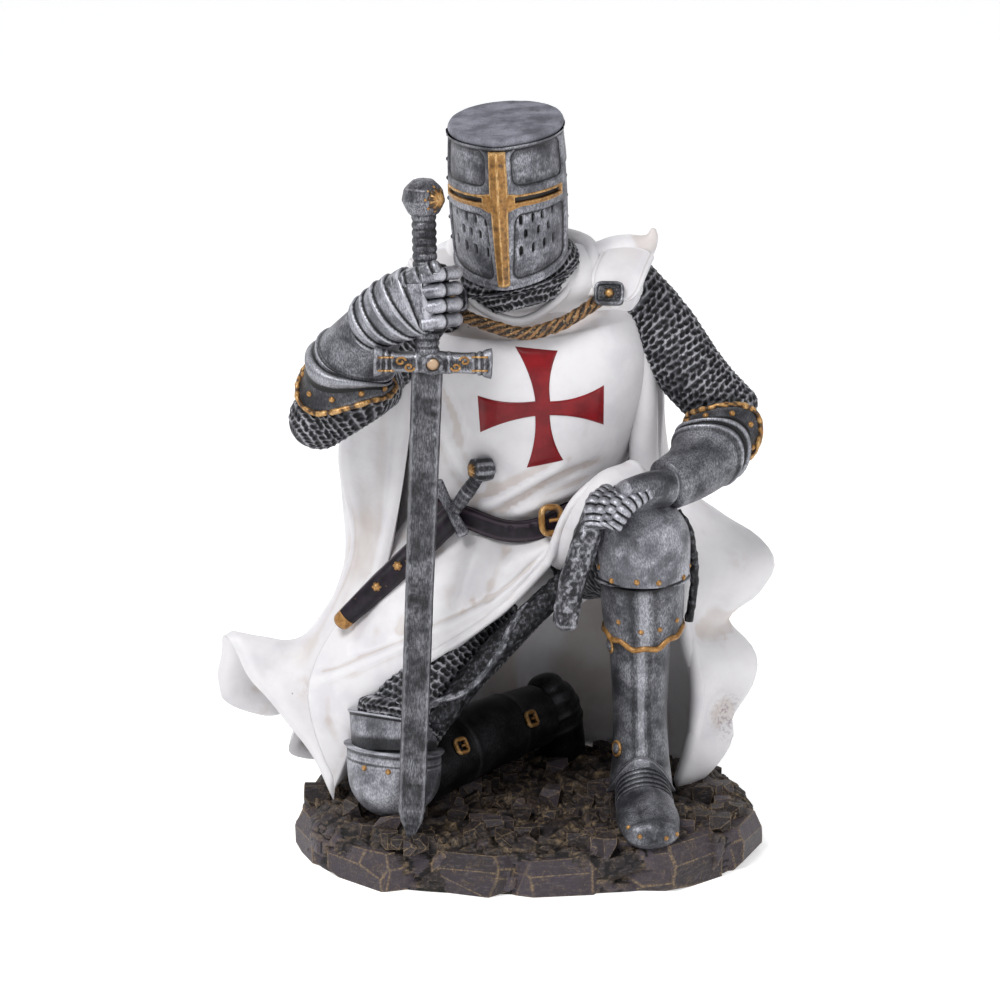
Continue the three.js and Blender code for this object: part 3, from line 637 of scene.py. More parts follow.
# A lighter copy of the steel paint for the knee cups, the kneeling knee's plate, the fist and the fingers:
# painted highlight.
HIGHLIGHT_STEEL = steel_paint("steel paint with painted highlight", (0.078, 0.079, 0.091), 1.0)
GOLD = gold_paint()
BRAID = braid_paint()
RED = red_paint()
LEATHER = leather_paint()
ROCK = rock_paint()
PEARL = pearl_paint()
HELM_STEEL = steel_paint("helm steel paint", (0.048, 0.049, 0.058), 0.76)
# A copy of the helm's steel for its top, its colour and shine toned to the light that falls there: painted
# light.
LIGHT_TONED_TOP_STEEL = steel_paint("helm top paint with painted light", (0.072, 0.073, 0.090), 0.25, (1, 1, 1), 0.05, 0.75)


# Mail links.
def links(grid, columns, pitch, depth):
    """Gives a limb a skin of mail: staggered links round dark holes, a whole number of them round it."""
    across = grid.turn / TAU * columns
    rows = grid.along / pitch
    near = np.full(across.shape, 9.0)
    rise = np.zeros(across.shape)
    for row in (-1, 0, 1):
        line = np.floor(rows) + row
        shift = 0.5 * np.mod(line, 2)
        for column in (-1, 0, 1):
            home = np.floor(across - shift) + column + 0.5
            key = np.mod(home, columns)
            dx = across - shift - home - 0.3 * (hashed(key, line, seed=3) - 0.5)
            dy = rows - line - 0.5 - 0.3 * (hashed(key, line, seed=4) - 0.5)
            gap = np.hypot(0.92 * dx + (0.5 - np.mod(line, 2)) * dy, 1.12 * dy)
            rise = np.where(gap < near, dy, rise)
            near = np.minimum(gap, near)
    height = smooth(0.2, 0.5, near) * (0.78 + 0.5 * np.clip(rise, -0.45, 0.45))
    grid.marks["link"] = height
    return grid.raise_by(depth * (height - 0.6))


# Relief.
LOOP_POINTS = 48


def walk(line, count):
    """Points at even paces along a smooth curve through some places."""
    even = np.linspace(0, 1, CURVE_STEPS)
    run = np.insert(np.cumsum(np.linalg.norm(np.diff(through(line, even), axis=0), axis=1)), 0, 0)
    return through(line, np.interp(np.linspace(0, run[-1], count), run, even))


def gap_to(points, line):
    """How far each point is from a broken line, and where along it, from 0 to 1, it comes nearest."""
    line = np.asarray(line, float)
    best = np.full(points.shape[:-1], 1e9)
    share = np.zeros(points.shape[:-1])
    for k, (a, b) in enumerate(zip(line[:-1], line[1:])):
        step = b - a
        t = np.clip(((points - a) @ step) / (step @ step), 0, 1)
        gap = np.linalg.norm(points - a - t[..., None] * step, axis=-1)
        share = np.where(gap < best, (k + t) / (len(line) - 1), share)
        best = np.minimum(best, gap)
    return best, share


def fold(grid, *folds):
    """Raises folds, or sinks creases below 0. Each is a line of places, a height and a width."""
    total = np.zeros(grid.points.shape[:2])
    for line, height, width in folds:
        gap, share = gap_to(grid.points, walk(line, 20))
        total += height * bump(gap, width) * smooth(0, 0.15, share) * smooth(0, 0.15, 1 - share)
    return grid.raise_by(total)


def mark_up(grid, name, values):
    """Raises a mark to some values wherever it is lower."""
    grid.marks[name] = np.maximum(grid.marks.get(name, 0.0), values)
    return grid


def mark(grid, name, reach, *lines):
    """Marks what lies within reach of some lines or single places."""
    for line in lines:
        line = np.atleast_2d(np.asarray(line, float))
        if len(line) > 1:
            gap = gap_to(grid.points, line)[0]
        else:
            gap = np.linalg.norm(grid.points - line[0], axis=-1)
        mark_up(grid, name, bump(gap, reach))
    return grid


def lames(grid, pitch, height, slant=0.0, peak=0.0, span=(-1e3, 1e3)):
    """Overlapping flat plates along a limb, each ending in a step with a dark line under it."""
    phase = (grid.along + slant * np.cos(grid.turn - peak)) / pitch
    share = phase - np.floor(phase)
    within = smooth(span[0] - 0.5, span[0], grid.along) * (1 - smooth(span[1], span[1] + 0.5, grid.along))
    line = np.minimum(share, 1 - share) * pitch
    mark_up(grid, "sunk", 0.85 * within * bump(line, 0.15))
    return grid.raise_by(height * within * (share * (1 - smooth(0.88, 1, share)) - 0.45))


def scales(grid, pitch, height):
    """A row of small rounded scales along a finger."""
    phase = grid.along / pitch
    share = phase - np.floor(phase)
    swell = np.sqrt(np.clip(1 - (2 * share - 1) ** 2, 0, 1)) * (0.75 + 0.25 * share)
    mark_up(grid, "sunk", 0.9 * bump(np.minimum(share, 1 - share) * pitch, 0.16))
    return grid.raise_by(height * (swell - 0.6))


def basis(normal, up=Z):
    """Two directions across a normal, the second as near up as it can be."""
    normal = unit(np.asarray(normal, float))
    rise = unit(up - normal * (normal @ up))
    return np.cross(rise, normal), rise, normal


def dome(place, normal, radius, height, around=14, rows=5, petals=0, sink=0.12):
    """A rivet, boss or flower of some petals that stands on a place."""
    across, rise, out = basis(normal, Z + 0.2 * Y)
    turn = TAU * np.arange(around) / around
    lobe = 0.74 + 0.26 * np.abs(np.cos(petals * turn / 2)) ** 0.7 if petals else 1.0
    bend = np.linspace(0, 0.47 * math.pi, rows)[:, None]
    reach = radius * np.cos(bend) * lobe
    rings = (
        np.asarray(place)
        + out * (height * np.sin(bend) - sink)[..., None]
        + across * (reach * np.cos(turn))[..., None]
        + rise * (reach * np.sin(turn))[..., None]
    )
    return Grid(rings, wrap=True, tips=[place - out * sink, place + out * (height - sink)], flip=True)


def studs(name, skin, places, radius, height, petals=0):
    """Gold rivets, or flowers of some petals, set on to a skin where it is nearest to some points."""
    grids = []
    for place in places:
        spot, normal = skin.nearest(place)
        stud = dome(spot, normal, radius, height, 24 if petals else 14, petals=petals)
        rows, columns = stud.points.shape[:2]
        stud.marks["hollow"] = np.linspace(0.25, -0.6, rows)[:, None] * np.ones(columns)
        grids.append(stud)
    make(name, grids, GOLD)


def frame_loop(place, normal, wide, tall, radius, square):
    """An open rounded frame, such as a buckle's, standing on a place."""
    across, rise, out = basis(normal)
    turn = TAU * np.arange(LOOP_POINTS) / LOOP_POINTS
    reach = squared(turn, square)
    path = (
        np.asarray(place)
        + out * radius * 0.6
        + across * (wide / 2 * reach * np.cos(turn))[:, None]
        + rise * (tall / 2 * reach * np.sin(turn))[:, None]
    )
    return bead(path, radius, 8, closed=True).hollows(radius)


def spin(start, end, profile, around, rows, swell):
    """A turned form along an axis: the profile gives [share of the way, radius]."""
    stations = [[*(start + (end - start) * share), radius, radius] for share, radius in profile]
    shares = [share for share, _ in profile]
    return limb(straight(shares, stations, rows), Y + 0.1 * Z, around, rows, (0, 0), swell)


# Cloth. Lines are rows of [x, y, z], and stations add the half width and half depth there.
TORSO = [
    [-3, 17.5, 46, 24, 21.5], [-6, 15, 58, 25, 21.8], [-6, 14.2, 69, 23.5, 21.3], [-3, 12, 81, 25, 23],
    [0, 9.5, 93, 27, 24], [1.5, 7.7, 105, 28, 23.3], [1, 6.7, 116, 26, 20.3], [0, 4.4, 122.5, 19, 15.2],
]
YOKE = [[-21, 3, 118.5, 7, 8.5], [-12, 1.5, 121.5, 8.5, 12], [0, 1, 122.5, 9, 14], [12, 1.5, 122.5, 8.5, 12],
        [22.5, 3, 120.5, 7, 8.5]]
NECKLINE = [[-14, -12, 122.6], [-11, -12.2, 119.2], [-6.5, -13, 117], [-2, -13.4, 116.2], [3, -13, 118.2],
            [7.8, -11.6, 122], [9.9, -9.2, 126], [11, -5.8, 129]]
CORD = [[-16, -9, 117.5], [-14.5, -12.5, 117.2], [-9, -15.6, 115.6], [-1, -17.2, 114], [7, -16.2, 116],
        [13, -13.4, 119], [16.5, -10.5, 121]]
BELT = [[-24, 1, 70], [-17, -6.5, 70], [-5.5, -9.5, 66.5], [3, -9, 67], [9.5, -6, 70], [16, 0, 72]]
SCABBARD = [[-17, -9, 70], [-26, -10, 61.4], [-35, -10.8, 53], [-43, -9.6, 45]]
SCABBARD_SECTIONS = np.hstack([SCABBARD, [[2.1, 2.9], [2.1, 2.8], [2, 2.6], [1.7, 2.0]]])
COLLAR = [[-17, -8, 121], [-17.5, -4.5, 127], [-17, 1, 131], [-14.5, 9, 131.5], [-9, 13.5, 131.5],
          [-1, 15.2, 131.5], [7, 13, 131.5], [12, 8.5, 131.3], [14, 3, 130.6], [14.6, -2.5, 129.2],
          [14.8, -7, 125.5], [14.4, -9.5, 121]]
CHEST_FOLDS = [
    ([[-12.7, -8, 71.5], [-5.6, -10, 74.4], [-0.3, -11.2, 77.6], [5, -11.6, 80.6], [9.5, -10.6, 83.2]],
     1.2, 1.5),
    ([[-8, -9, 69.8], [0.4, -10.2, 76], [5, -10.4, 78.4], [9.8, -9.3, 80.4], [17, -5.7, 83]], -1.1, 1.2),
    ([[-5.8, -8.2, 70.4], [1.6, -9, 72.4], [7.6, -8.2, 74.4], [12, -6.5, 76], [17, -4, 78.5]], 1.1, 1.6),
    ([[-1, -9, 70], [6, -8, 71.6], [12, -6, 73.4], [18, -2, 76]], -0.7, 0.9),
    ([[-25, 0, 108], [-21, -6, 101], [-17, -9, 93], [-15.5, -9, 85]], -0.6, 1.8),
    ([[-22, -3, 96], [-19, -7, 88], [-15, -8.5, 80], [-9, -9.5, 74]], 0.6, 2.0),
    ([[19, -4, 93], [17.5, -5, 88], [16, -6, 84]], 0.5, 1.6),
]
SIDE_FOLD = [[26, 0.5, 108], [26.6, 1, 96], [26.8, 1, 85], [27.2, 1, 72]]


def surcoat():
    def drape(turn, t):
        facing = np.clip(-np.sin(turn), 0, None) ** 2
        return 1 + 0.028 * facing * np.clip(1 - t * 1.6, 0, None) * np.sin(6 * turn + 9 * t)

    grid = limb(TORSO, X, 128, 98, (0, 0.3), drape)
    fold(grid, *CHEST_FOLDS)
    grid.roughen((0.18, 7, 1), (0.05, 2.2, 2))
    # Painted shade along the belt and the cord, and in a chest crease.
    mark(grid, "stain", 1.3, BELT, CORD)
    mark(grid, "stain", 0.9, CHEST_FOLDS[1][0])
    mark(grid, "stain", 1.8, [[-13, -12, 77], [-17, -9, 71]])
    side = limb([[*place, 3.4, 3.2] for place in SIDE_FOLD], X, 32, 36)
    make("side_fold", side.hollows(0.9, 2.5), WHITE)
    return make("surcoat", grid.hollows(0.9, 2.5), WHITE)


CROSS_CORE = [[4.9, 98.0], [4.8, 94.7], [1.5, 94.6], [1.5, 98.1]]
CROSS_ENDS = [[[-3.1, 110.5], [6.6, 109.6]], [[17.2, 101.0], [17.2, 91.4]], [[8.0, 83.6], [-0.4, 82.0]],
              [[-11, 90.2], [-11.6, 98.9]]]


def painted_cross(skin):
    """A splayed cross that lies on the chest, as a thin raised film."""
    core, ends = np.array(CROSS_CORE), np.array(CROSS_ENDS)
    along, across = np.meshgrid(np.linspace(0, 1, 46), np.linspace(-1, 1, 27), indexing="ij")
    flats = []
    for arm in range(4):
        inner, outer = core[[(arm + 3) % 4, arm]], ends[arm]
        middle = inner.mean(0) + along[..., None] * (outer.mean(0) - inner.mean(0))
        half = inner[1] - inner[0] + (along**2.1)[..., None] * ((outer[1] - outer[0]) - (inner[1] - inner[0]))
        flats.append((middle + across[..., None] * half / 2, np.minimum(1 - along, 1 - np.abs(across))))
    u, v = np.meshgrid(np.linspace(0, 1, 9), np.linspace(0, 1, 9), indexing="ij")
    square = (core[3] + u[..., None] * (core[0] - core[3])) * (1 - v[..., None])
    square += (core[2] + u[..., None] * (core[1] - core[2])) * v[..., None]
    flats.append((square, np.ones(u.shape)))
    grids = []
    for flat, inside in flats:
        in_front = np.stack([flat[..., 0], np.full(inside.shape, -45.0), flat[..., 1]], -1)
        grid = Grid(skin.pressed(in_front, 0.03 + 0.3 * smooth(0, 0.12, inside)))
        grid.flip = bool(grid.normals()[..., 1].mean() > 0)
        grids.append(grid)
    make("red_cross", grids, RED)


def neck_dress():
    yoke = limb(YOKE, Z, 72, 60).roughen((0.25, 6, 4))
    # Painted shade along the cord, and a stain on the shoulder.
    mark(yoke, "stain", 1.6, CORD, [19.1, -1.9, 131.8])
    make("mantle", yoke.hollows(0.9, 2.5), WHITE)
    taper = lambda share: 0.75 + 0.35 * np.sin(np.pi * share) ** 0.5
    collar = bead(walk(COLLAR, 120), 1.8, 18, swell=taper).roughen((0.15, 4, 5))
    # Painted shade on the collar roll's inner side, beside the hood.
    mark(collar, "stain", 1.4, [[13, -8, 122], [13, -4, 126], [12.5, 1, 129]])
    make("collar_roll", collar.hollows(0.9, 2.0), WHITE)
    make("neck_band", bead(walk(NECKLINE, 110), 1.05, 16).hollows(0.7), WHITE)
    neck_cord()


def neck_cord():
    """The carved cord across the chest, of five twisted strands."""
    run = walk(CORD, 300)
    twists = np.linalg.norm(np.diff(run, axis=0), axis=1).sum() / 12
    strands = lambda turn, t: 0.8 + 0.28 * np.abs(np.cos(2.5 * (turn + TAU * t * twists)))
    cord = limb(np.hstack([run, np.full((len(run), 2), 1.45)]), Z, 32, 210, (0, 0), strands)
    make("cord", cord.roughen((0.16, 1.2, 6)).hollows(0.35, 0.8), BRAID)


TABS = [
    [[23, -2, 130, 6, 2], [20.5, -9, 126, 6, 2], [18.3, -13, 120.5, 5.4, 1.8]],
    [[-22, -2, 129, 6, 2], [-19, -9, 125, 6, 2], [-17, -13, 119, 5.4, 1.8]],
]


def tabs():
    """The mantle's two rounded ends in front of the shoulders, each with a brooch."""
    def tongue(turn, t):
        rounding = np.clip((t - 0.66) / 0.34, 0, 1)
        half = np.sqrt(np.clip(1 - rounding**2, 0.02, 1))
        return 1 - (1 - half) * np.cos(turn) ** 2

    for side, stations in zip(("left", "right"), TABS):
        grid = limb(stations, X, 60, 56, swell=tongue)
        end = grid.along.max() - grid.along
        edge = np.minimum(end, 9 * (1 - np.abs(np.cos(grid.turn))) + 0.4)
        grid.raise_by(-0.3 * bump(edge - 1.7, 0.28) + 0.12 * bump(edge - 1.1, 0.4))
        x, y, z = stations[-1][:3]
        # Painted shade round the brooch.
        mark(grid, "stain", 2.2, [x, y - 2, z + 2.5])
        tab = make(f"{side}_tab", grid.hollows(0.5, 1.2), WHITE)
        brooch(side, *Skin(tab).behind((x - 0.1, -40, z + 2)))


FIN = [[15, 1, 127, 4, 4.5], [21, 0, 129, 4, 4.8], [25.6, -0.5, 130.8, 2.8, 3.6], [28, -0.8, 133, 1.4, 1.8],
       [28.6, -0.8, 135.2, 0.6, 0.7]]


def shoulder_fin():
    """The mantle's edge swept up to a point over the left shoulder."""
    make("shoulder_fin", limb(FIN, Y, 32, 36).roughen((0.12, 3, 7)).hollows(0.9, 2.0), WHITE)


BROOCH_BEADS = 12
BROOCH_SLAB = ((-0.6, 0), (0.55, 0), (0.8, 0.25))  # heights over the cloth, and how far in the edge lies


def brooch(side, place, normal):
    """A black plate with a raised rim, a ring of beads and a gold flower."""
    across, rise, out = basis(normal)
    slab = [[*(place + out * height), 3.3 - inset, 2.6 - inset] for height, inset in BROOCH_SLAB]
    plate = limb(slab, across, 60, 14, (0, 0), lambda turn, t: squared(turn, 6))
    plate.marks["hollow"] = 0.5 * np.ones(plate.points.shape[:2])
    make(f"{side}_brooch_plate", plate, BLACK_STEEL)
    rim = [frame_loop(place + out * 0.7, out, 6.0, 4.7, 0.42, 5)]
    for k in range(BROOCH_BEADS):
        turn = TAU * k / BROOCH_BEADS
        spot = place + out * 0.95 + across * 2.05 * math.cos(turn) + rise * 1.5 * math.sin(turn)
        rim.append(dome(spot, out, 0.34, 0.34, 8, 4))
    make(f"{side}_brooch_rim", rim, STEEL)
    make(f"{side}_brooch_boss", dome(place + out * 0.8, out, 1.25, 1.1, 24, 7, petals=6).hollows(0.3), GOLD)


# Lines down the cloak, from neck to hem, that go from its right edge round behind to its left edge.
CLOAK_RIBS = [
    [[-17, -4, 130], [-26, 0, 118], [-27, -2, 90], [-32, -3, 60], [-42, -6, 28], [-45.5, -8, 1]],
    [[-18, -1, 131], [-30, 3, 119], [-36, 3, 86], [-37, 3, 58], [-46, -1, 32], [-50, -5, 10]],
    [[-18, 2, 131], [-31, 6, 119], [-40, 6, 84], [-39, 6, 58], [-48, 2, 36], [-57, -3, 19]],
    [[-18, 4, 131], [-31, 8, 119], [-42, 8, 84], [-39.5, 8, 58], [-50, 5, 37], [-64, 0, 28]],
    [[-18, 6, 131], [-31, 10, 119], [-42.5, 9, 84], [-40, 10, 56], [-52, 8, 35.5], [-71.3, 4, 37.5]],
    [[-17, 8, 131], [-31, 13, 119], [-42.5, 12, 84], [-40.5, 13, 54], [-53, 12, 33], [-73.4, 9, 30]],
    [[-16, 10, 131], [-30, 16, 119], [-41, 17, 84], [-40.5, 17, 51], [-52, 16, 30], [-70.5, 13, 20]],
    [[-14, 12, 131], [-28, 19, 119], [-39, 21, 84], [-40, 21, 47], [-49, 19, 27], [-64, 17, 14.5]],
    [[-12, 13, 131], [-25, 22, 119], [-36, 25, 84], [-39, 25, 43], [-45, 23, 22], [-56.5, 20, 14]],
    [[-10, 14, 131], [-21, 25, 119], [-30, 29, 84], [-35, 29, 42], [-43, 27, 18], [-53, 24, 2]],
    [[-5, 15, 131], [-12, 28, 119], [-19, 33, 84], [-25, 36, 40], [-36, 36, 0]],
    [[1, 15, 131], [0, 29, 119], [-2, 35, 84], [-6, 41, 40], [-13, 43, 0]],
    [[6, 14, 131], [11, 28, 119], [13, 34, 84], [13, 40, 40], [12, 43, 0]],
    [[9, 12, 131], [20, 24, 120], [24, 29, 84], [26, 34, 40], [30, 38, 0]],
    [[12, 9, 131], [26, 17, 121], [30, 21, 84], [34, 24, 40], [40, 26, 0]],
    [[13, 6, 130.5], [28, 11, 122], [31, 14, 84], [38, 12, 50], [42, 12, 22], [42, 14, 0]],
    [[14, 3, 130], [28, 7, 122], [30, 11, 96], [32, 9.5, 76], [36, 4, 58], [36.5, 2, 40], [39.5, 1, 28],
     [39.5, 1, 20], [38, 2, 11], [35.5, 3, 1]],
    [[14, 1, 129.5], [27.5, 5, 122.5], [30.4, 9, 96], [32, 9, 76], [44, 8, 62], [50, 6, 52], [44, 8, 40],
     [47, 4, 30], [45, 8, 18], [43, 4, 9], [37, 4, 0.5]],
    [[14, -2, 129], [27, 3, 123], [30, 7, 96], [31, 8.5, 76], [42, 15, 66.3], [55, 13, 59], [58.5, 10, 53.5],
     [55, 10, 47], [47.5, 14, 39.5], [54, 9, 33], [54, 8, 25.7], [48.8, 12, 16], [49, 8, 12], [44, 8, 5],
     [38, 8, 0]],
]
CLOAK_FOLD_COUNT = 6
CLOAK_FOLD_DEPTH = 2.0
CLOAK_FOLD_EDGE = [[37.8, 2.4, 40], [39.4, 0.8, 31], [39.8, 0.6, 23], [38.8, 1.6, 13]]
CLOAK_STAINS = [[46.6, 5.2, 36.9], [50.4, 6, 54.4], [-63.5, 15.2, 15.9], [-52, -1.9, 26.7]]
CLOAK_SPRAY = [[48.4, 7.6, 14.8], [46.9, 6.6, 18]]
HEM_DROP = 1.8  # how far the hem behind hangs below the ground's top, which slopes down there


def cloak_wave(u, v):
    """How far out the cloak's folds stand, and the painted shade in their creases, above 0, or the painted
    highlight on their ridges, below 0.
    """
    phase = TAU * CLOAK_FOLD_COUNT * u
    crease = bump((phase / TAU) % 1 - 0.5, 0.11)
    ridge = 0.9 * bump((phase / TAU + 0.5) % 1 - 0.5, 0.12) + 0.25 * np.cos(2.6 * phase + 2.2 * v)
    reach = smooth(0, 0.8, v) * np.sin(np.pi * u) ** 2
    wave = CLOAK_FOLD_DEPTH * reach * (0.8 * np.cos(phase) - 0.1 * crease + ridge + 0.15)
    return wave, 0.5 * reach * (crease - ridge)


def inwards(points, axis):
    """How far each point of a sheet lies from the nearer of its two ends along an axis."""
    steps = np.linalg.norm(np.diff(points, axis=axis), axis=-1)
    run = np.cumsum(np.insert(steps, 0, 0, axis), axis)
    return np.minimum(run, np.take(run, [-1], axis) - run)


def cloak():
    """The cloak as two skins that meet in a round edge, from neck to hem and from side to side."""
    u, v = np.linspace(0, 1, 160)[:, None], np.linspace(0, 1, 74)[None]
    ribs = np.array([walk(rib, v.size) for rib in CLOAK_RIBS])
    ribs[..., 2] -= HEM_DROP * smooth(0.9, 1, v) * (ribs[:, -1:, 1] > 20) * (ribs[:, -1:, 2] < 1)
    middle = through(ribs, u[:, 0])
    away = unit((middle - (0, 5, 0)) * (1, 1, 0))
    wave, shade = cloak_wave(u, v)
    middle = middle + away * wave[..., None]
    small = 0.45 * lumps(middle * (1, 1, 0.2), 7, 11) + 0.12 * lumps(middle * (1, 1, 0.5), 3.6, 12)
    grid = Grid(middle, flip=True).raise_by(small * smooth(0.05, 0.4, v))
    gap = np.minimum(inwards(grid.points, 0), inwards(grid.points, 1))
    half = CLOTH / 2 * np.sqrt(1 - (1 - np.clip(gap / 1.6, 0, 1)) ** 2)
    sides = []
    for way in (1, -1):
        side = Grid(grid.points + way * half[..., None] * grid.normals(), flip=way > 0).hollows(1.6, 4.5)
        # Painted shade in the folds' creases and painted highlight on their ridges, carried in the hollow
        # mark.
        side.marks["hollow"] = np.clip(side.marks["hollow"] + way * shade, -1, 1)
        mark(side, "stain", 2.2, *CLOAK_STAINS)
        mark(side, "spray", 4.0, *CLOAK_SPRAY)
        sides.append(side)
    make("cloak", sides, WHITE)
    taper = lambda share: 0.4 + 0.6 * np.sin(np.pi * share) ** 0.5
    edge = bead(walk(CLOAK_FOLD_EDGE, 60), 1.7, 20, swell=taper)
    make("cloak_fold_edge", edge.hollows(0.8), WHITE)


# Closed cuts through the skirt, from the middle to its right side. The third place of each is on the hem.
SKIRT_CUTS = [
    [[10, -4, 69], [8, -10, 66], [5.5, -12, 62.5], [4.5, -12, 58.5], [5, -7, 57], [4, 6, 56]],
    [[-2, -6, 66], [-4.5, -13, 60], [-6.7, -16, 52], [-6.5, -15.5, 48.5], [-5, -10, 47.5], [0, 8, 50]],
    [[-13, -6, 67], [-18, -13, 57], [-22.4, -18, 44.2], [-22.4, -17, 38], [-19, -12, 37], [-6, 10, 46]],
    [[-22, -1, 69], [-30, -10, 54], [-38, -15, 36.3], [-37, -15.5, 27], [-33, -11, 26], [-14, 12, 40]],
    [[-25, 6, 71], [-38, -2, 53], [-51, -9, 30], [-46, -10, 8], [-42, -6, 7], [-20, 14, 34]],
]
SKIRT_FOLDS = [
    ([[-9, -7, 66], [-14, -14, 56], [-16, -17, 48]], 0.8, 2.2),
    ([[-4, -9, 64], [-8, -14, 56], [-10, -17, 50]], -0.6, 1.6),
    ([[-20, -6, 65], [-27, -13, 52], [-31, -17, 41]], -0.8, 2.2),
    ([[-24, -3, 66], [-34, -11, 50], [-42, -14, 34]], 0.8, 2.4),
    ([[-26, 2, 66], [-40, -6, 46], [-46, -11, 26], [-44, -10, 12]], -0.7, 2.2),
]
BORDER_ABOVE = (0.3, 0.4, 1.6)  # from the fold of the hem to the stitched line above it


def skirt():
    cuts = through(SKIRT_CUTS, np.linspace(0, 1, 104))
    rings = np.array([through(np.concatenate((cut, cut[:1])), np.linspace(0, 1, 101)[:-1]) for cut in cuts])
    grid = Grid(rings, wrap=True, tips=[rings[0].mean(0), rings[-1].mean(0)], flip=True)
    hem = [cut[2] for cut in SKIRT_CUTS]
    fold(grid, (np.array(hem) + BORDER_ABOVE, -0.5, 0.5), (hem, 0.45, 1.0))
    fold(grid, *SKIRT_FOLDS)
    grid.roughen((0.2, 6, 21), (0.06, 2.2, 22))
    # Painted shade along the scabbard and the belt.
    mark(grid, "stain", 2.6, SCABBARD, BELT)
    mark(grid, "stain", 1.4, [-15, -17, 50], [-12.5, -17, 51.5], [-52, -4, 25])
    make("skirt", grid.hollows(0.9, 2.4), WHITE)


BELT_HOLES = [[-11, -11, 67.2], [-4, -11, 67.4], [0.9, -11, 68]]
BUCKLE = np.array([5.2, -11.2, 69.3])


def belt():
    grid = limb([[*place, 2.35, 1.5] for place in BELT], Z, 40, 130, (0, 0), lambda turn, t: squared(turn, 4))
    edge = np.abs(np.cos(grid.turn))
    grid.raise_by(0.18 * bump(edge - 0.93, 0.05) - 0.15 * bump(edge - 0.8, 0.06))
    holes = sum(bump(np.linalg.norm(grid.points - place, axis=-1), 0.5) for place in BELT_HOLES)
    grid.raise_by(-0.4 * holes)
    make("belt", grid.hollows(0.5, 1.0), LEATHER)
    tongue = bead(walk([BUCKLE + (-0.4, 0, 0), BUCKLE + (2.6, 0.3, 0.4)], 10) + (0, -0.5, 0), 0.45, 8)
    make("buckle", [frame_loop(BUCKLE, [0.25, -1, 0.25], 4.6, 6.0, 0.8, 3.2), tongue.hollows(0.4)], GOLD)


DAGGER_GUARD = [[-21, -9.5, 77.8, 1.5, 1.1], [-18, -10.6, 72, 1.15, 0.95], [-15, -11.4, 66.2, 1.5, 1.1]]
DAGGER_GRIP = np.array([[-11.2, -12.4, 80.2], [-17, -10.6, 71.6]])
DAGGER_POMMEL = np.array([[-12.9, -13.9, 81.7], [-8.4, -11.5, 81.5]])  # the middles of its face and back


def dagger():
    sheath = limb(SCABBARD_SECTIONS, Y, 40, 70, (0, 0.9))
    sheath.raise_by(0.2 * bump(np.abs(np.sin(sheath.turn)) - 0.97, 0.04) + 0.05 * lumps(sheath.points, 2, 31))
    skin = Skin(make("dagger_sheath", sheath.hollows(0.6, 1.2), LEATHER))
    chape = limb(SCABBARD_SECTIONS + (0, 0, 0, 0.2, 0.2), Y, 40, 12, (0, 0.9), span=(0.955, 1))
    make("dagger_chape", chape.hollows(0.5), GOLD)
    studs("dagger_flowers", skin, [[-30.5, -15, 59.5], [-35.3, -15, 54.2]], 1.15, 0.8, petals=6)
    waist = [(0, 1.1), (0.12, 1.5), (0.5, 1.75), (0.88, 1.5), (1, 1.6)]
    rings = lambda turn, t: 1 + 0.02 * np.cos(TAU * 7 * t + turn)
    make("dagger_grip", spin(*DAGGER_GRIP, waist, 36, 50, rings).hollows(0.4), ROUGH_STEEL)
    make("dagger_guard", limb(DAGGER_GUARD, X, 30, 50).hollows(0.5), BLACK_STEEL)
    rounds = [(0, 2.2), (0.08, 2.65), (0.3, 2.8), (0.75, 2.8), (0.93, 2.5), (1, 2.0)]
    lobes = lambda turn, t: 1 + 0.04 * np.cos(8 * turn)
    make("dagger_pommel", spin(*DAGGER_POMMEL, rounds, 48, 30, lobes).hollows(0.5), BLACK_STEEL)
    face, back = DAGGER_POMMEL
    make("dagger_pommel_flower", dome(face, unit(face - back), 1.9, 0.8, 36, 7, petals=6).hollows(0.3), GOLD)


# Helm and mail hood.
HELM_FOOT = np.array([-3.75, -6.5, 131.4])
HELM_CROWN = np.array([-5.25, -11.0, 161.8])
HELM_TALL = float(np.linalg.norm(HELM_CROWN - HELM_FOOT))
HELM_UP = unit(HELM_CROWN - HELM_FOOT)
HELM_TURN = math.radians(-8)
HELM_PROFILE = [[12.5, 15.2], [13.0, 16], [12.95, 15.8], [12.3, 15]]  # half width and half depth, upwards
HELM_ARC = 14.2  # millimetres round the face for each radian
HELM_DIP = 4.0  # how much lower the foot hangs in front
HELM_RIM = 0.5
HELM_BORDER = 0.6  # how far the frames of the plates stand out
HELM_SEAM = 0.925  # the share of the height where the side plates end under the rim
# The rivets' shares of the height, for each angle.
HELM_RIVETS = {-79: (0.92, 0.74, 0.6, 0.45, 0.31, 0.16), 88: (0.91, 0.75, 0.58, 0.43, 0.27, 0.12)}
BAR_SPAN = (0.012, 0.93)
SIGHT = (16, 66)  # how far round from the face the eye slits start and end, in degrees
SIGHT_END = SIGHT[1] + 4
BREATH_ARC = 14.6  # millimetres round the face for each radian, at the breathing holes
BREATH_RADIUS = 0.4
# Rows of breathing holes: the share of the helm's height, half a hole's height and the holes' angles.
BREATHS = [
    (0.447, 0.95, (-55, -38.4, -26.8, -14.8, 21.1, 33.3, 44, 57)),
    (0.35, 0.85, (-43, -32.8, -21.9, 25.2, 39.2, 51)),
    (0.24, 0.95, (-56, -40.3, -27.7, -14.1, 19.9, 32.9, 45.3, 57.2)),
]


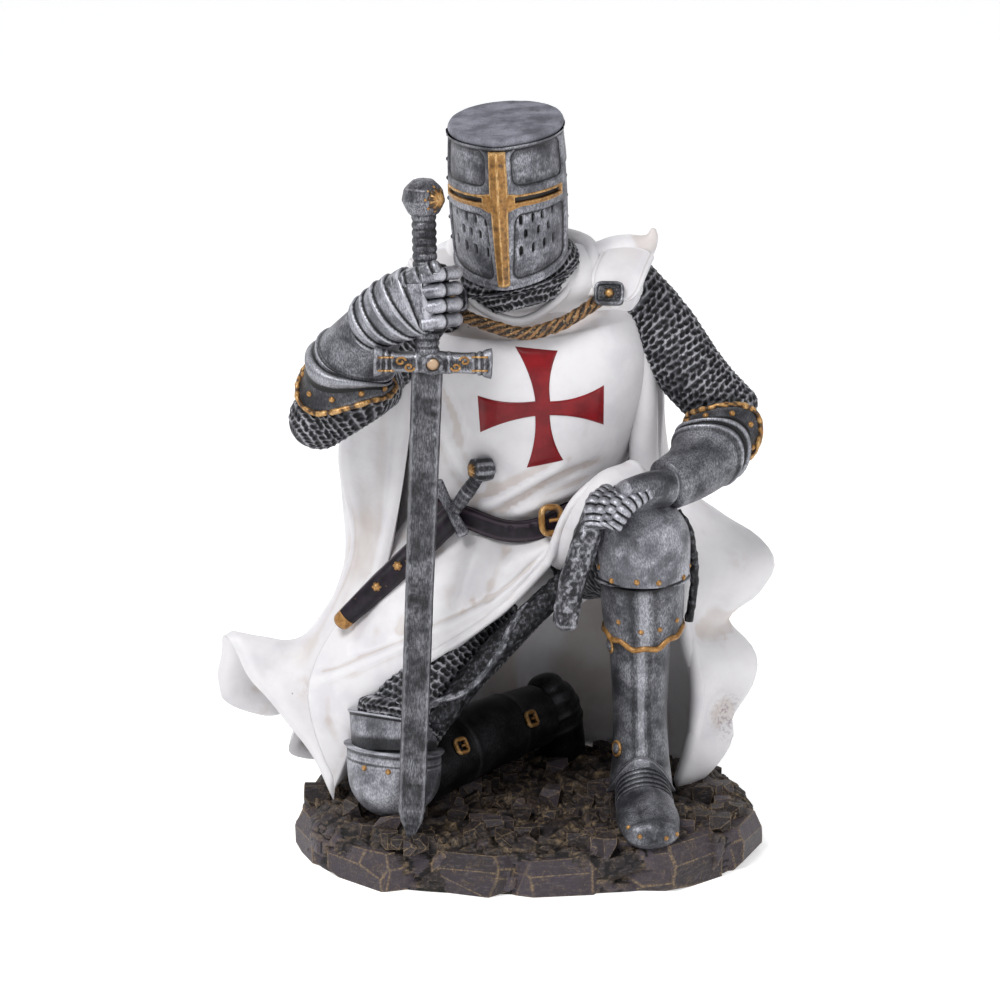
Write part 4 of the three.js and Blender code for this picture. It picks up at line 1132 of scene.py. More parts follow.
def helm_place(angle, share, out):
    """Places on the helm at angles from the face, in degrees, and shares of its height, some way out."""
    angle, share, out = np.broadcast_arrays(np.asarray(angle, float), np.asarray(share, float), out)
    turn = np.radians(angle)
    wide, deep = np.moveaxis(through(HELM_PROFILE, share), -1, 0)
    ridge = 1.2 * bump(angle, 15)
    dip = -HELM_DIP * np.clip(np.cos(turn), 0, None) * (1 - share)
    side = np.array([math.cos(HELM_TURN), math.sin(HELM_TURN), 0])
    side = unit(side - HELM_UP * (side @ HELM_UP))
    rear = np.cross(HELM_UP, side)
    x, y = (wide + out) * np.sin(turn), -(deep + ridge + out) * np.cos(turn)
    lift = (share * HELM_TALL + dip)[..., None] * HELM_UP
    return HELM_FOOT + x[..., None] * side + y[..., None] * rear + lift


def face_middle(share):
    """The angle of the gold bar's middle at a share of the helm's height."""
    return np.interp(share, [0, 1], [1.6, 0.4])


def sight_middle(angle):
    """The share of the helm's height at which the eye slits run, at an angle."""
    return 0.542 + 0.056 * np.cos(np.radians(angle))


def sight_slit(aside, share):
    """1 inside the eye slits, at an angle from the face and a share of the helm's height."""
    tall = 0.52 - np.abs(share - sight_middle(aside)) * HELM_TALL
    wide = np.radians(np.minimum(aside - SIGHT[0], SIGHT[1] - aside)) * HELM_ARC
    return smooth(-0.08, 0.12, np.minimum(tall, wide))


def helm():
    angle = np.concatenate((np.linspace(-86, 86, 190), np.linspace(88, 272, 44)))[None]
    wrapped = (angle + 180) % 360 - 180
    helm_shell(wrapped, np.abs(wrapped))
    helm_top(wrapped)
    helm_bar()
    make("helm_sight_plates", [sight_plate(way) for way in (-1, 1)], GOLD)
    helm_rivets()


def helm_bar():
    """The gold bar down the face, with a low ridge along its middle."""
    low, high = BAR_SPAN
    share = np.linspace(low, high, 130)[:, None]
    side = np.linspace(-1, 1, 27)[None]
    half = np.interp(share, [0, 0.5, 0.6, 1], [6.6, 9.0, 10.2, 9.4])
    rise = 0.75 + 0.75 * (1 - np.abs(side)) - 1.6 * smooth(0.88, 1, np.abs(side))
    bar = helm_place(face_middle(share) + half * side, share, rise)
    ends = np.minimum(smooth(0, 0.02, share - low), smooth(0, 0.012, high - share))
    bar += Y * (1.2 * (1 - ends))[..., None]
    bar += Y * (0.07 * lumps(bar, 1.6, 42))[..., None]
    make("helm_bar", Grid(bar).hollows(0.5, 1.0), GOLD)


def helm_rivets():
    rivets = []
    for angle, heights in HELM_RIVETS.items():
        for height in heights:
            spot = helm_place(angle, height, HELM_BORDER if angle < 0 else 0.1)
            out = unit(helm_place(angle, height, 2.0) - helm_place(angle, height, 0.0))
            rivets.append(dome(spot, out, 0.55, 0.5).hollows(0.3))
    make("helm_rivets", rivets, STEEL)


def helm_frames(wrapped, aside, share):
    """How far the helm's frames stand out round its sunk plates, and the dark lines beside them."""
    z = share * HELM_TALL
    x = np.radians(wrapped - face_middle(share)) * HELM_ARC
    bar_half = np.interp(share, [0.06, 0.5, 0.58, 0.7, 0.95], [2.0, 3.3, 3.3, 3.0, 3.0])
    middle = sight_middle(wrapped) * HELM_TALL
    upper = np.minimum(z - middle - 2.4, HELM_SEAM * HELM_TALL - z)
    lower = np.minimum(middle - 2.9 - z, z - 0.05 * HELM_TALL)
    tall = np.maximum(upper, lower)
    wide = np.minimum(np.abs(x) - bar_half, np.radians(76 - aside) * HELM_ARC)
    corner = 2.2
    rounded = corner - np.hypot(np.clip(corner - wide, 0, None), np.clip(corner - tall, 0, None))
    inside = np.where((wide < corner) & (tall < corner), rounded, np.minimum(wide, tall))
    out = HELM_BORDER * (1 - smooth(-0.1, 0.3, inside))
    rear_seam = 0.35 * smooth(0.66, 0.68, share) - 0.25 * bump(z - 0.67 * HELM_TALL, 0.25)
    out = np.where(aside > 79, HELM_BORDER * (1 - smooth(83, 87, aside)) + (aside > 86) * rear_seam, out)
    return out, np.maximum(0.5 * bump(inside - 0.3, 0.2), 0.7 * bump(aside - 85, 0.8))


def helm_shell(wrapped, aside):
    share = np.linspace(0, 0.952, 118)[:, None]
    z = share * HELM_TALL
    out, sunk = helm_frames(wrapped, aside, share)
    for height, half_tall, angles in BREATHS:
        for angle in angles:
            dx = np.radians(wrapped - angle) * BREATH_ARC
            dz = np.clip(np.abs(z - height * HELM_TALL) - (half_tall - BREATH_RADIUS), 0, None)
            hole = 1 - smooth(0.34, 0.5, np.hypot(dx, dz))
            out = out - 0.9 * hole
            sunk = np.maximum(sunk, hole)
    slit = sight_slit(aside, share)
    out = out - 1.6 * slit + 0.25 * (1 - smooth(0.3, 0.9, z)) + HELM_RIM * smooth(0.93, 0.94, share)
    sunk = np.maximum(np.maximum(sunk, slit), 0.6 * bump(z - HELM_SEAM * HELM_TALL, 0.25))
    places = helm_place(wrapped, share, out)
    places = places + (0.08 * lumps(places, 2.2, 41) + 0.04 * lumps(places, 0.9, 43))[..., None] * Y
    grid = Grid(places, wrap=True).hollows(0.9, 2.0)
    grid.marks["hollow"] = np.clip(grid.marks["hollow"], -0.5, 1) * 0.5
    make("helm", mark_up(grid, "sunk", sunk), HELM_STEEL)


def helm_top(wrapped):
    """The rim's top, then the flat lid from the rim to the crown."""
    share = np.concatenate((np.zeros(6), np.linspace(0, 1, 20)))[:, None]
    rise = np.concatenate((np.linspace(0, 1, 6), np.ones(20)))[:, None]
    rim = helm_place(wrapped, 0.945 + 0.055 * rise, HELM_RIM + 0.3 * np.sin(np.pi * rise) - 0.1)
    lid = rim + share[..., None] * 0.985 * (HELM_CROWN - rim)
    lid = lid + HELM_UP * (0.3 * (1 - (1 - share) ** 2) + 0.06 * lumps(lid, 2.0, 44))[..., None]
    top = Grid(lid, wrap=True, tips=[rim[0].mean(0) - HELM_UP, HELM_CROWN + HELM_UP * 0.3]).hollows(0.8, 1.6)
    top.marks["hollow"] = top.marks["hollow"] * 0.5
    make("helm_top_plate", top, LIGHT_TONED_TOP_STEEL)


def sight_plate(way):
    """The gold arm from the bar to the helm's side, round the black eye slit."""
    aside = np.linspace(2, SIGHT_END, 92)[:, None]
    middle = sight_middle(aside)
    side = np.linspace(-1, 1, 30)[None]
    flare = 0.035 * bump(aside - 6, 9)
    low, high = middle - 0.052 - flare, middle + 0.036 + 0.6 * flare
    share = low + (side + 1) / 2 * (high - low)
    edge = np.minimum((1 - np.abs(side)) * 1.2, np.radians(SIGHT_END - aside) * HELM_ARC)
    slit = sight_slit(aside, share)
    rounded = 0.3 * np.sqrt(np.clip(edge, 0, 1))
    drop = 0.7 * (1 - smooth(0, 0.2, edge))
    out = HELM_BORDER + 0.15 + rounded - drop - 1.1 * slit
    grid = Grid(helm_place(way * aside, share, out), flip=way > 0).roughen((0.06, 1.2, 45)).hollows(0.4)
    grid.marks["hollow"] = grid.marks["hollow"] * 0.6
    return mark_up(grid, "sunk", slit)


COIF = [[-4.5, -5.5, 133, 10.8, 12.6], [-3.8, -4.8, 129.8, 13.4, 15], [-2.6, -3.8, 125, 14.8, 16.6],
        [-1, -4.5, 118.5, 9.5, 13]]


def coif():
    make("mail_hood", links(limb(COIF, X, 312, 72, (0, 0)), 52, 1.35, 0.5), MAIL)


# Arms and hands.
RIGHT_ARM = [[-18, 4, 117.5, 9, 9], [-30, 0, 109, 8.7, 8.7], [-41, -7, 99, 8, 8],
             [-47.5, -11, 94.5, 6.8, 6.8]]
RIGHT_ELBOW = [[-35, -7, 101.7, 7.2, 7.6], [-40, -14, 99.3, 7.4, 7.6], [-47.5, -15, 94, 7, 7]]
LEFT_ARM = [[20, 5, 121, 9, 9.5], [30, 3.5, 111.5, 8, 8.5], [39, 1, 100, 7.5, 7.7], [47, -1, 92, 7.2, 7.2]]
RIGHT_CUFF = [[-40.9, -17, 103.5, 11, 9.5], [-40.2, -18, 106.8, 10.2, 8.8], [-38.5, -19, 110, 9, 8],
              [-34.5, -23.5, 117, 6.8, 6]]
LEFT_CUFF = [[43.7, -7.4, 88, 8.5, 9], [41, -11, 85, 8.3, 8.6], [37, -16, 82, 6.8, 7],
             [31.5, -21, 80, 6, 5.6]]
CUFF_POINT = 6.0  # how far the cuff's mouth runs out to a point on one side
CUFF_HOLLOW = 9.0  # how deep the cuff's mouth is
CUFF_RIVETS = 10
CUFF_RIVETS_AT = 2.1  # from the cuff's mouth


def mail_arms():
    for name, stations in (("right", RIGHT_ARM), ("left", LEFT_ARM)):
        grid = limb(stations, Y, 156, 128, (0, 0.6))
        make(f"{name}_mail_sleeve", links(grid, 26, 1.6, 0.5), MAIL)
    elbow = limb(RIGHT_ELBOW, Y, 156, 68, (0.2, 1))
    make("right_mail_elbow", links(elbow, 26, 1.5, 0.45), MAIL)


def cuffs():
    for name, stations, across, peak in (
        ("right", RIGHT_CUFF, X, 1.23 * math.pi),
        ("left", LEFT_CUFF, Z, -0.35 * math.pi),
    ):
        lean = lambda turn, t: -CUFF_POINT * (1 - t) * np.clip(np.cos(turn - peak), 0, None) ** 2
        grid = limb(stations, across, 90, 70, (0, 0), None, lean)
        s = grid.along
        bands = 0.65 * bump(s - 4.3, 0.4) + 0.6 * bump(s - 6.5, 0.5) - 0.35 * bump(s - 5.3, 0.35)
        grid.raise_by(bands - 0.45 * (1 - smooth(3.5, 3.9, s)))
        grid.hollows(0.6, 1.4)
        border = 0.6 * smooth(0.6, 1.2, s) * (1 - smooth(3.4, 3.9, s))
        grid.marks["sunk"] = np.maximum(border, bump(s - 5.3, 0.32))
        mouth = grid.points[0].mean(0)
        grid.tips[0] = mouth + CUFF_HOLLOW * unit(grid.points[-1].mean(0) - mouth)
        cuff = make(f"{name}_cuff", grid, STEEL)
        braid = bead(grid.points[0] + 0.3 * unit(grid.points[0] - mouth), 0.6, 12, closed=True)
        make(f"{name}_cuff_braid", braid.roughen((0.3, 1.1, 46)).hollows(0.4), GOLD)
        row = np.argmin(np.abs(s[:, 0] - CUFF_RIVETS_AT))
        rivets = grid.points[row, :: grid.points.shape[1] // CUFF_RIVETS]
        studs(f"{name}_cuff_rivets", Skin(cuff), rivets, 0.75, 0.75)


FIST = [[-36.5, -25.5, 117.5, 6.2, 4.8], [-31, -31, 121.5, 7.4, 5], [-25.5, -34, 124.5, 7.6, 5],
        [-22, -35.5, 125, 7.2, 3.6]]
PALM = [[31, -22, 79.5, 5.6, 4], [26, -25, 79, 7.2, 3.8], [21, -27, 78, 7.6, 3.2]]
GRIPPED = [[-20.5, -33.6, 118.5, 2.6, 2.4], [-20.3, -33.6, 131.5, 2.6, 2.4]]
THUMB = [[-31, -33, 127, 2.4, 2.2], [-25, -36.5, 130.2, 2.1, 2.0], [-20.5, -37.5, 132.6, 1.8, 1.7]]
FINGERS = 4
FINGER_PACE = 3.5  # from one gripping finger down to the next


def gripping_finger(i):
    """A finger of the raised hand, bent round the grip, counted from the top."""
    rise = 5.4 - FINGER_PACE * i
    places = [[-24, -37.4, 125], [-19, -36.8, 125.6], [-16.4, -33.6, 125.4], [-18.6, -29.6, 124.6]]
    finger = limb([[x, y, z + rise, 1.55, 1.7] for x, y, z in places], Z, 24, 46, (0.3, 0.5))
    return lames(finger, 5.2, 0.15, peak=1.0).hollows(0.3, 0.7)


def resting_finger(i):
    """A scaled finger of the hand on the knee, counted from the knight's left."""
    left = FINGERS - 1 - i
    places = [[27 - 3 * i, -25 - 1.5 * left, 80.5 - 0.3 * i], [22 - 2.5 * i, -30 - left, 77.5],
              [19 - 1.6 * i, -32 - 0.7 * left, 73.5]]
    finger = limb([[*place, 1.75, 1.65] for place in places], X, 24, 84, (0.3, 0.5))
    return scales(finger, 1.8, 0.85).hollows(0.3, 0.7)


def hands():
    fist = lames(limb(FIST, Z, 100, 92, (0, 0.3)), 3.5, 0.75, slant=1.6, peak=0.3)
    make("right_gauntlet", fist.hollows(0.4, 1.0), HIGHLIGHT_STEEL)
    # A near-black core inside the fist: painted shade that shows between the fingers.
    make("right_fist_shade", limb(GRIPPED, X, 24, 12).hollows(0.5), BLACK_LEG_AND_SHADE)
    palm = limb(PALM, unit(np.array([0.4, -0.6, 0.6])), 70, 40)
    make("left_gauntlet", palm.hollows(0.4, 1.0), STEEL)
    make("right_fingers", [gripping_finger(i) for i in range(FINGERS)], HIGHLIGHT_STEEL)
    make("left_fingers", [resting_finger(i) for i in range(FINGERS)], HIGHLIGHT_STEEL)
    make("right_thumb", lames(limb(THUMB, Z, 34, 50), 3.0, 0.5).hollows(0.3, 0.7), STEEL)


# Legs.
LEFT_THIGH = [[8, 16, 55, 13, 12], [17, -2, 60, 12, 11], [25, -17, 63, 11, 11]]
RIGHT_THIGH = [[-2, 14, 52, 13, 13], [-12, 2, 42, 11.5, 12], [-23, -9, 31, 10.5, 11],
               [-31, -15, 19, 9.5, 9.5]]
LEFT_CUP = [[25.8, -17, 74, 7.5, 7.5], [26, -18, 69, 10.6, 10.6], [26, -18, 63, 11, 11],
            [26, -18, 57.5, 10.6, 10.8]]
LEFT_LAME = [[26, -17.5, 58, 9.8, 10], [26.3, -16.5, 50, 9.4, 9.6], [26.5, -16, 45.5, 9, 9]]
GREAVE = [[25.5, -14, 50, 7.6, 8.5], [25.8, -13, 38, 6.9, 8], [26, -12.5, 24, 6.3, 7.4],
          [26.2, -13, 14, 6.6, 8], [26.3, -14, 5, 7.6, 9.5]]
SABATON = [[26, -13.5, 16, 5.4, 6.2], [26.3, -16.5, 9, 6, 6.6], [26.8, -24, 5.2, 6.6, 5.6],
           [27.4, -32, 3.6, 7.2, 4.4], [28, -37, 2.2, 6.3, 3.5]]
RIGHT_CUP = [[-31, -17, 3, 6.5, 6], [-31, -18, 7, 10, 9.6], [-31, -18, 12, 10.9, 10.6],
             [-31, -17.5, 17, 10.9, 10.6]]
RIGHT_LAME = [[-31, -17, 16, 9.8, 9.8], [-31, -14.8, 23.4, 10.4, 10]]
RIGHT_KNEE_MAIL = [[-31, -14.8, 19, 9.7, 9.5], [-30.2, -13.6, 26.2, 9.2, 9.4]]
RIGHT_SHIN = [[-28, -12, 9, 9, 8.5], [-12, 6, 12, 8.5, 8.5], [2, 22, 13, 7.5, 7.5]]
RIGHT_BOOT = [[9, 31, 2, 5.5, 6], [6.5, 28, 11, 7, 7], [5, 26, 17, 6.4, 6.4], [4.5, 25.5, 19.5, 4.5, 4.5]]
MAIL_FOLD = [[17, -20, 76, 3.4, 3.4], [12.5, -24, 66, 3.2, 3.2], [9.5, -25, 56, 3, 3.2],
             [8.4, -24.5, 48.5, 2.9, 3]]
LAP = [[7.5, -8, 60, 3.6, 3.6], [10.3, -12, 65.5, 4, 4.2], [13.5, -15, 71.5, 4.2, 4.4],
       [18, -15, 77, 4.6, 4.5], [25, -12, 79, 5.5, 4]]
HEM_ROLL = [[-31.5, -13.5, 33.5], [-26.5, -17.2, 36], [-22.4, -17.8, 38.6], [-6.5, -16.2, 49.2],
            [3, -13.2, 58.2], [5.2, -13.2, 61.5], [6.4, -13.8, 65.5], [8, -15, 70], [10.6, -16, 74.6],
            [14.8, -15.5, 78.8], [20, -13.5, 81.3]]
THIGH_HEM = [[13, -10, 58, 3, 4], [1, -14, 48, 3, 4.5], [-9, -16, 38, 3, 4.5], [-21, -19, 24, 3.4, 4]]
THIGH_ROLL = [[-24, -21.6, 27.5], [-18.4, -21.4, 29.8], [-14.1, -21.1, 31.6], [-9.9, -20.4, 35.7],
              [-6.3, -19.4, 41.1], [-3.1, -18.1, 47], [-0.1, -15.4, 50.5]]
KNEE_ROLL = [[33.8, -18.2, 73.1], [36.6, -18.5, 68.5], [38, -15.5, 60], [38, -14, 53], [37, -13.5, 46]]
LEFT_KNEE_RIVETS = [[17.8, -27, 58.6], [24.2, -30, 58.9], [30, -30, 58.6], [36, -24, 58.8], [14.5, -23, 61],
                    [37.5, -17, 60]]
LEFT_LAME_RIVETS = [[20.4, -24, 48.4], [25.6, -26, 46.6], [30.2, -25.5, 46.8], [34.2, -22, 48.3]]
GREAVE_KNOBS = {"upper": [18.9, -16, 40.9], "lower": [20.6, -17, 16.4]}
SABATON_STUDS = [[23.6, -37, 3], [25.4, -39, 2.4], [32.6, -37, 2.4], [31, -39, 2]]
RIGHT_KNEE_RIVETS = [[-38.9, -28, 14.6], [-32.3, -31, 14.4], [-25.4, -28, 14.6]]
STRAP_BUCKLES = [[-15.4, -10, 15], [1.0, 9.0, 16]]
TRIM_WAVES = 6


def keel(turn, t):
    return 1 + 0.05 * front(turn, 48)


def lowered_front(turn, t):
    return 2.4 * t * front(turn, 3)


def raised_front(turn, t):
    return -9 * smooth(0.75, 1, t) * front(turn, 2)


def tipped(turn, t):
    return -1.8 * t * np.cos(turn)


def left_knee():
    """The knee cup, its rivets and the mail over the thigh behind it."""
    make("left_thigh_mail", links(limb(LEFT_THIGH, X, 160, 60, (0, 0)), 32, 2.0, 0.45), MAIL)
    cup = limb(LEFT_CUP, X, 96, 66, (0.6, 0))
    low = cup.along.max() - cup.along + 1.2 * front(cup.turn, 4)
    cup.raise_by(0.45 * (1 - smooth(0.3, 0.6, low))).hollows(0.6, 1.5)
    cup.marks["sunk"] = 0.6 * bump(low - 0.8, 0.2)
    studs("left_knee_rivets", Skin(make("left_knee_cup", cup, HIGHLIGHT_STEEL)), LEFT_KNEE_RIVETS, 0.72, 0.6)


def left_knee_plate():
    """The plate under the knee cup, with a wavy gold trim along its lower edge."""
    plate = limb(LEFT_LAME, X, 108, 54, (0, 0), keel, lowered_front).hollows(0.5, 1.2)
    # Painted shade at the plate's top, under the rim of the knee cup.
    plate.marks["sunk"] = 0.8 * bump(plate.along, 1.0)
    skin = Skin(make("left_knee_lame", plate, STEEL))
    turn = plate.turn[-1]
    seen = np.sin(turn) > -0.35
    order = np.argsort(np.where(seen, (turn + math.pi / 2) % TAU, 99))[: seen.sum()]
    waves = 0.4 * np.cos(np.linspace(0, TRIM_WAVES * TAU, len(order)))
    trim = bead(walk(plate.points[-1][order] + Z * waves[:, None], 120), 0.7, 12)
    make("left_knee_trim", trim.hollows(0.4), GOLD)
    studs("left_lame_rivets", skin, LEFT_LAME_RIVETS, 0.68, 0.55)


def left_shin():
    """The plate over the standing shin, with two knobs at its side."""
    shin = limb(GREAVE, X, 108, 90, (0, 0), keel, raised_front)
    shin.raise_by(0.5 * smooth(0.975, 0.99, shin.share)).hollows(0.7, 1.8)
    shin.marks["sunk"] = 0.6 * bump(shin.share - 0.968, 0.006)
    skin = Skin(make("left_greave", shin, STEEL))
    for name, place in GREAVE_KNOBS.items():
        spot, normal = skin.nearest(place)
        make(f"left_greave_{name}_knob", dome(spot, normal, 1.5, 1.2, 24, 8).hollows(0.4), STEEL)
        make(f"left_greave_{name}_knob_edge", frame_loop(spot, normal, 3.2, 3.2, 0.35, 2), GOLD)


def left_foot():
    """The edge of mail beside the raised knee, and the plated shoe with its studs."""
    edge = bead(walk(KNEE_ROLL, 90), 1.0, 14).roughen((0.2, 1.1, 54))
    make("left_knee_edge", edge.hollows(0.4, 0.9), IRON)
    shoe = lames(limb(SABATON, X, 84, 104, (0, 0.95)), 1.7, 0.4, span=(1, 17))
    shoe.raise_by(0.35 * front(shoe.turn, 24) * smooth(15, 19, shoe.along)).hollows(0.5, 1.2)
    shoe.marks["hollow"] = np.clip(shoe.marks["hollow"], -0.35, 1)
    studs("left_sabaton_studs", Skin(make("left_sabaton", shoe, STEEL)), SABATON_STUDS, 0.6, 0.5)


def right_thigh():
    """Mail over the kneeling thigh, with the heavy hem of the mail shirt across it."""
    thigh = limb(RIGHT_THIGH, X, 210, 150, (0, 0), span=(0.15, 1))
    make("right_thigh_mail", links(thigh, 42, 1.5, 0.45), MAIL)
    hem = limb(THIGH_HEM, X, 56, 130, (0.6, 0.6)).roughen((0.2, 1.5, 51), (0.15, 0.8, 52))
    make("right_thigh_hem", hem.hollows(0.4, 1.0), IRON)
    roll = bead(walk(THIGH_ROLL, 160), 0.85, 16).roughen((0.2, 1.3, 53))
    make("thigh_roll", roll.hollows(0.4, 0.9), STEEL)


def right_knee():
    """The cup of the kneeling knee, the plate above it and a strip of mail."""
    cup = limb(RIGHT_CUP, X, 100, 76, (0, 0), lean=lambda turn, t: 0.6 * tipped(turn, t))
    top = cup.along.max() - cup.along
    cup.raise_by(0.8 * (1 - smooth(0, 1.0, top)) - 0.2 * bump(top - 3.0, 0.3)).hollows(0.6, 1.4)
    cup.marks["sunk"] = 0.6 * bump(top - 1.3, 0.25)
    studs("right_knee_rivets", Skin(make("right_knee_cup", cup, HIGHLIGHT_STEEL)), RIGHT_KNEE_RIVETS, 0.72, 0.6)
    plate = limb(RIGHT_LAME, X, 96, 40, (0, 0), lean=tipped)
    top = plate.along.max() - plate.along
    plate.raise_by(0.4 * (1 - smooth(0.3, 0.7, top))).hollows(0.6, 1.2)
    # Painted shade low on the plate, in the gap above the cup's rim, and a dark line near its top edge.
    plate.marks["sunk"] = np.maximum(0.9 * (1 - smooth(2.2, 3.4, plate.along)), 0.6 * bump(top - 0.9, 0.2))
    make("right_knee_lame", plate, HIGHLIGHT_STEEL)
    make("right_knee_mail", links(limb(RIGHT_KNEE_MAIL, X, 180, 26, (0, 0.3)), 36, 1.5, 0.45), MAIL)


def right_shin():
    """The dark shin on the ground with two buckled straps, and its boot."""
    shin = limb(RIGHT_SHIN, X, 72, 70, (0, 0))
    shin.raise_by(0.25 * bump(shin.along - 16, 0.7) + 0.25 * bump(shin.along - 34, 0.7))
    skin = Skin(make("right_greave", shin.hollows(0.7, 1.6), BLACK_LEG_AND_SHADE))
    studs("right_greave_stud", skin, [[-21.7, -24, 17]], 0.95, 0.8)
    buckles = []
    for place in STRAP_BUCKLES:
        spot, normal = skin.nearest(place)
        buckles.append(frame_loop(spot + 0.2 * normal, normal, 3.2, 3.2, 0.55, 4))
        across, _, _ = basis(normal)
        buckles.append(bead([spot + normal * 0.5, spot + normal * 0.6 + 1.6 * across], 0.35, 8))
    make("right_greave_buckles", buckles, GOLD)
    boot = limb(RIGHT_BOOT, X, 64, 56)
    straps = 0.3 * bump(boot.along - 9, 0.6) + 0.3 * bump(boot.along - 13, 0.6)
    boot.raise_by(straps + 0.1 * lumps(boot.points, 3, 54))
    make("right_boot", boot.hollows(0.6, 1.4), BLACK_LEG_AND_SHADE)


def lap():
    """The mail that hangs beside the raised knee, the cloth over the lap and the rolled hem."""
    mail = limb(MAIL_FOLD, X, 60, 130, (0.4, 0.6))
    mail.raise_by(0.22 * lumps(mail.points * (1, 1, 0.6), 1.5, 55) + 0.12 * lumps(mail.points, 0.8, 56))
    make("hanging_mail", mail.hollows(0.4, 0.9), ROUGH_STEEL)
    cloth = limb(LAP, X, 60, 60).roughen((0.25, 5, 61))
    # Painted shade beside the buckle and the belt.
    mark(cloth, "stain", 1.6, BUCKLE, BELT)
    make("lap_cloth", cloth.hollows(0.9, 2.2), WHITE)
    roll = bead(walk(HEM_ROLL, 160), 1.15, 18).roughen((0.15, 4, 62))
    make("skirt_hem_roll", roll.hollows(0.7, 1.4), WHITE)


# Sword.
SWORD_POINT = np.array([-26.8, -36, 0])
SWORD_GUARD = np.array([-22.6, -33, 110.5])
SWORD_POMMEL = np.array([-23.4, -31.5, 147])
SOCKET_DEPTH = 3.0
BLADE_SHARES = [0, 0.02, 0.045, 0.07, 0.5, 1]  # of the way from the point to the guard
BLADE_WIDTHS = [[0.6, 0.6], [1.3, 1.1], [2.5, 1.4], [3.1, 1.52], [3.2, 1.6], [3.5, 1.6]]
GUARD_MIDDLE = SWORD_GUARD + 1.2 * X
GUARD_FRONT = np.array([GUARD_MIDDLE[0], -40, GUARD_MIDDLE[2]])  # a place straight in front of the guard
GRIP_RADIUS = 2.7
GRIP_PITCH = 1.75
POMMEL_REACH = 4.45
POMMEL_ROWS = ((-1.1, 6), (-0.45, 10), (0.2, 10), (0.8, 8), (1.35, 4))  # each row's rise and facets
POMMEL_BOSS_WAY = unit(np.array([0.68, -0.73, 0.05]))
POMMEL_BEADS = 8


def blade_section(turn, t):
    """A wide flat face each side with narrow bevels to the edges."""
    x, y = np.abs(np.cos(turn)), np.abs(np.sin(turn))
    return 1 / np.maximum(np.maximum(y / 0.88, x * 0.985 + y * 0.14), x)


def blade():
    run = SWORD_GUARD - SWORD_POINT
    below = SWORD_POINT - run * SOCKET_DEPTH / np.linalg.norm(run)
    stations = np.hstack([SWORD_POINT + run * np.array(BLADE_SHARES)[:, None], BLADE_WIDTHS])
    stations = np.vstack([[*below, 0.5, 0.6], straight(BLADE_SHARES, stations, 200)])
    grid = limb(stations, X, 64, 150, (0, 0), blade_section).roughen((0.05, 1.5, 72))
    make("sword_blade", grid.hollows(0.5, 1.0), BLADE_STEEL, "sword")


def guard():
    """The cross guard, a bar with flared ends and two grooves near each."""
    shares = np.array([-1, -2 / 3, -1 / 3, 0, 1 / 3, 2 / 3, 1])
    flares = 2 + 1.4 * shares**4 + 0.6 * (1 - np.abs(shares)) ** 2
    cross = [[*(GUARD_MIDDLE + X * s * GUARD_SPAN / 2 - 0.3 * Z * s), flare, 2.3]
             for s, flare in zip(shares, flares)]
    bar = limb(cross, Z, 52, 100, (0.12, 0.12), lambda turn, t: squared(turn, 3.2))
    away = np.abs(bar.along - GUARD_SPAN / 2)
    bar.raise_by(-0.3 * bump(away - 9.6, 0.28) - 0.3 * bump(away - 10.9, 0.28) + 0.15 * bump(away - 3.6, 0.4))
    skin = Skin(make("sword_guard", bar.hollows(0.5, 1.0), BLACK_STEEL, "sword"))
    scrolls = []
    for way in (-1, 1):
        scrolls += [guard_scroll(skin, way, rise) for rise in (-1, 1)]
        scrolls += [guard_line(skin, way, rise) for rise in (-1.5, 1.5)]
    make("guard_scrolls", scrolls, GOLD, "sword")
    spot, normal = skin.behind(GUARD_FRONT)
    make("guard_jewel_ring", frame_loop(spot, normal, 3.9, 3.9, 0.5, 2), BLACK_STEEL, "sword")
    make("guard_jewel", dome(spot, normal, 1.5, 1.05, 24, 8, sink=0.3).hollows(0.5), PEARL, "sword")


def guard_scroll(skin, way, rise):
    """A gold scroll on the guard's face, to one side of the jewel and over or under the middle."""
    t = np.linspace(0, 1, 46)
    bend = TAU * 1.15 * t
    size = 1.15 * (1 - 0.72 * t)
    x = way * (5.2 + 1.9 * (rise > 0) - size * np.cos(bend))
    z = rise * (0.85 - 0.35 * t) * 0.9 + size * np.sin(bend) * rise * 0.75
    line = GUARD_FRONT + x[:, None] * X + z[:, None] * Z
    return bead(skin.pressed(line, 0.1), 0.27, 8).hollows(0.2)


def guard_line(skin, way, rise):
    """A gold line along the edge of the guard's face, near one end."""
    line = GUARD_FRONT + way * np.linspace(8.6, 12.2, 20)[:, None] * X + rise * Z
    return bead(skin.pressed(line, 0.05), 0.24, 8).hollows(0.2)


def faceted(centre, ways, reach, around, rows):
    """A knob cut flat by planes that all lie as far from its centre, with pale edges between them."""
    turn = TAU * np.arange(around) / around
    bend = np.linspace(-math.pi / 2, math.pi / 2, rows + 2)[1:-1, None]
    rays = np.stack([np.cos(bend) * np.cos(turn), np.cos(bend) * np.sin(turn), np.sin(bend) + 0 * turn], -1)

    def distance(ray):
        nearest = np.sort(reach / np.clip(ray @ ways.T, 1e-3, None), axis=-1)
        return nearest[..., 0], nearest[..., 1] - nearest[..., 0]

    out, edge = distance(rays)
    tips = [centre - Z * distance(-Z)[0], centre + Z * distance(Z)[0]]
    grid = Grid(centre + rays * out[..., None], wrap=True, tips=tips)
    grid.marks["hollow"] = -smooth(0, 1, 1 - edge / (0.09 * out)) * 0.45
    return grid


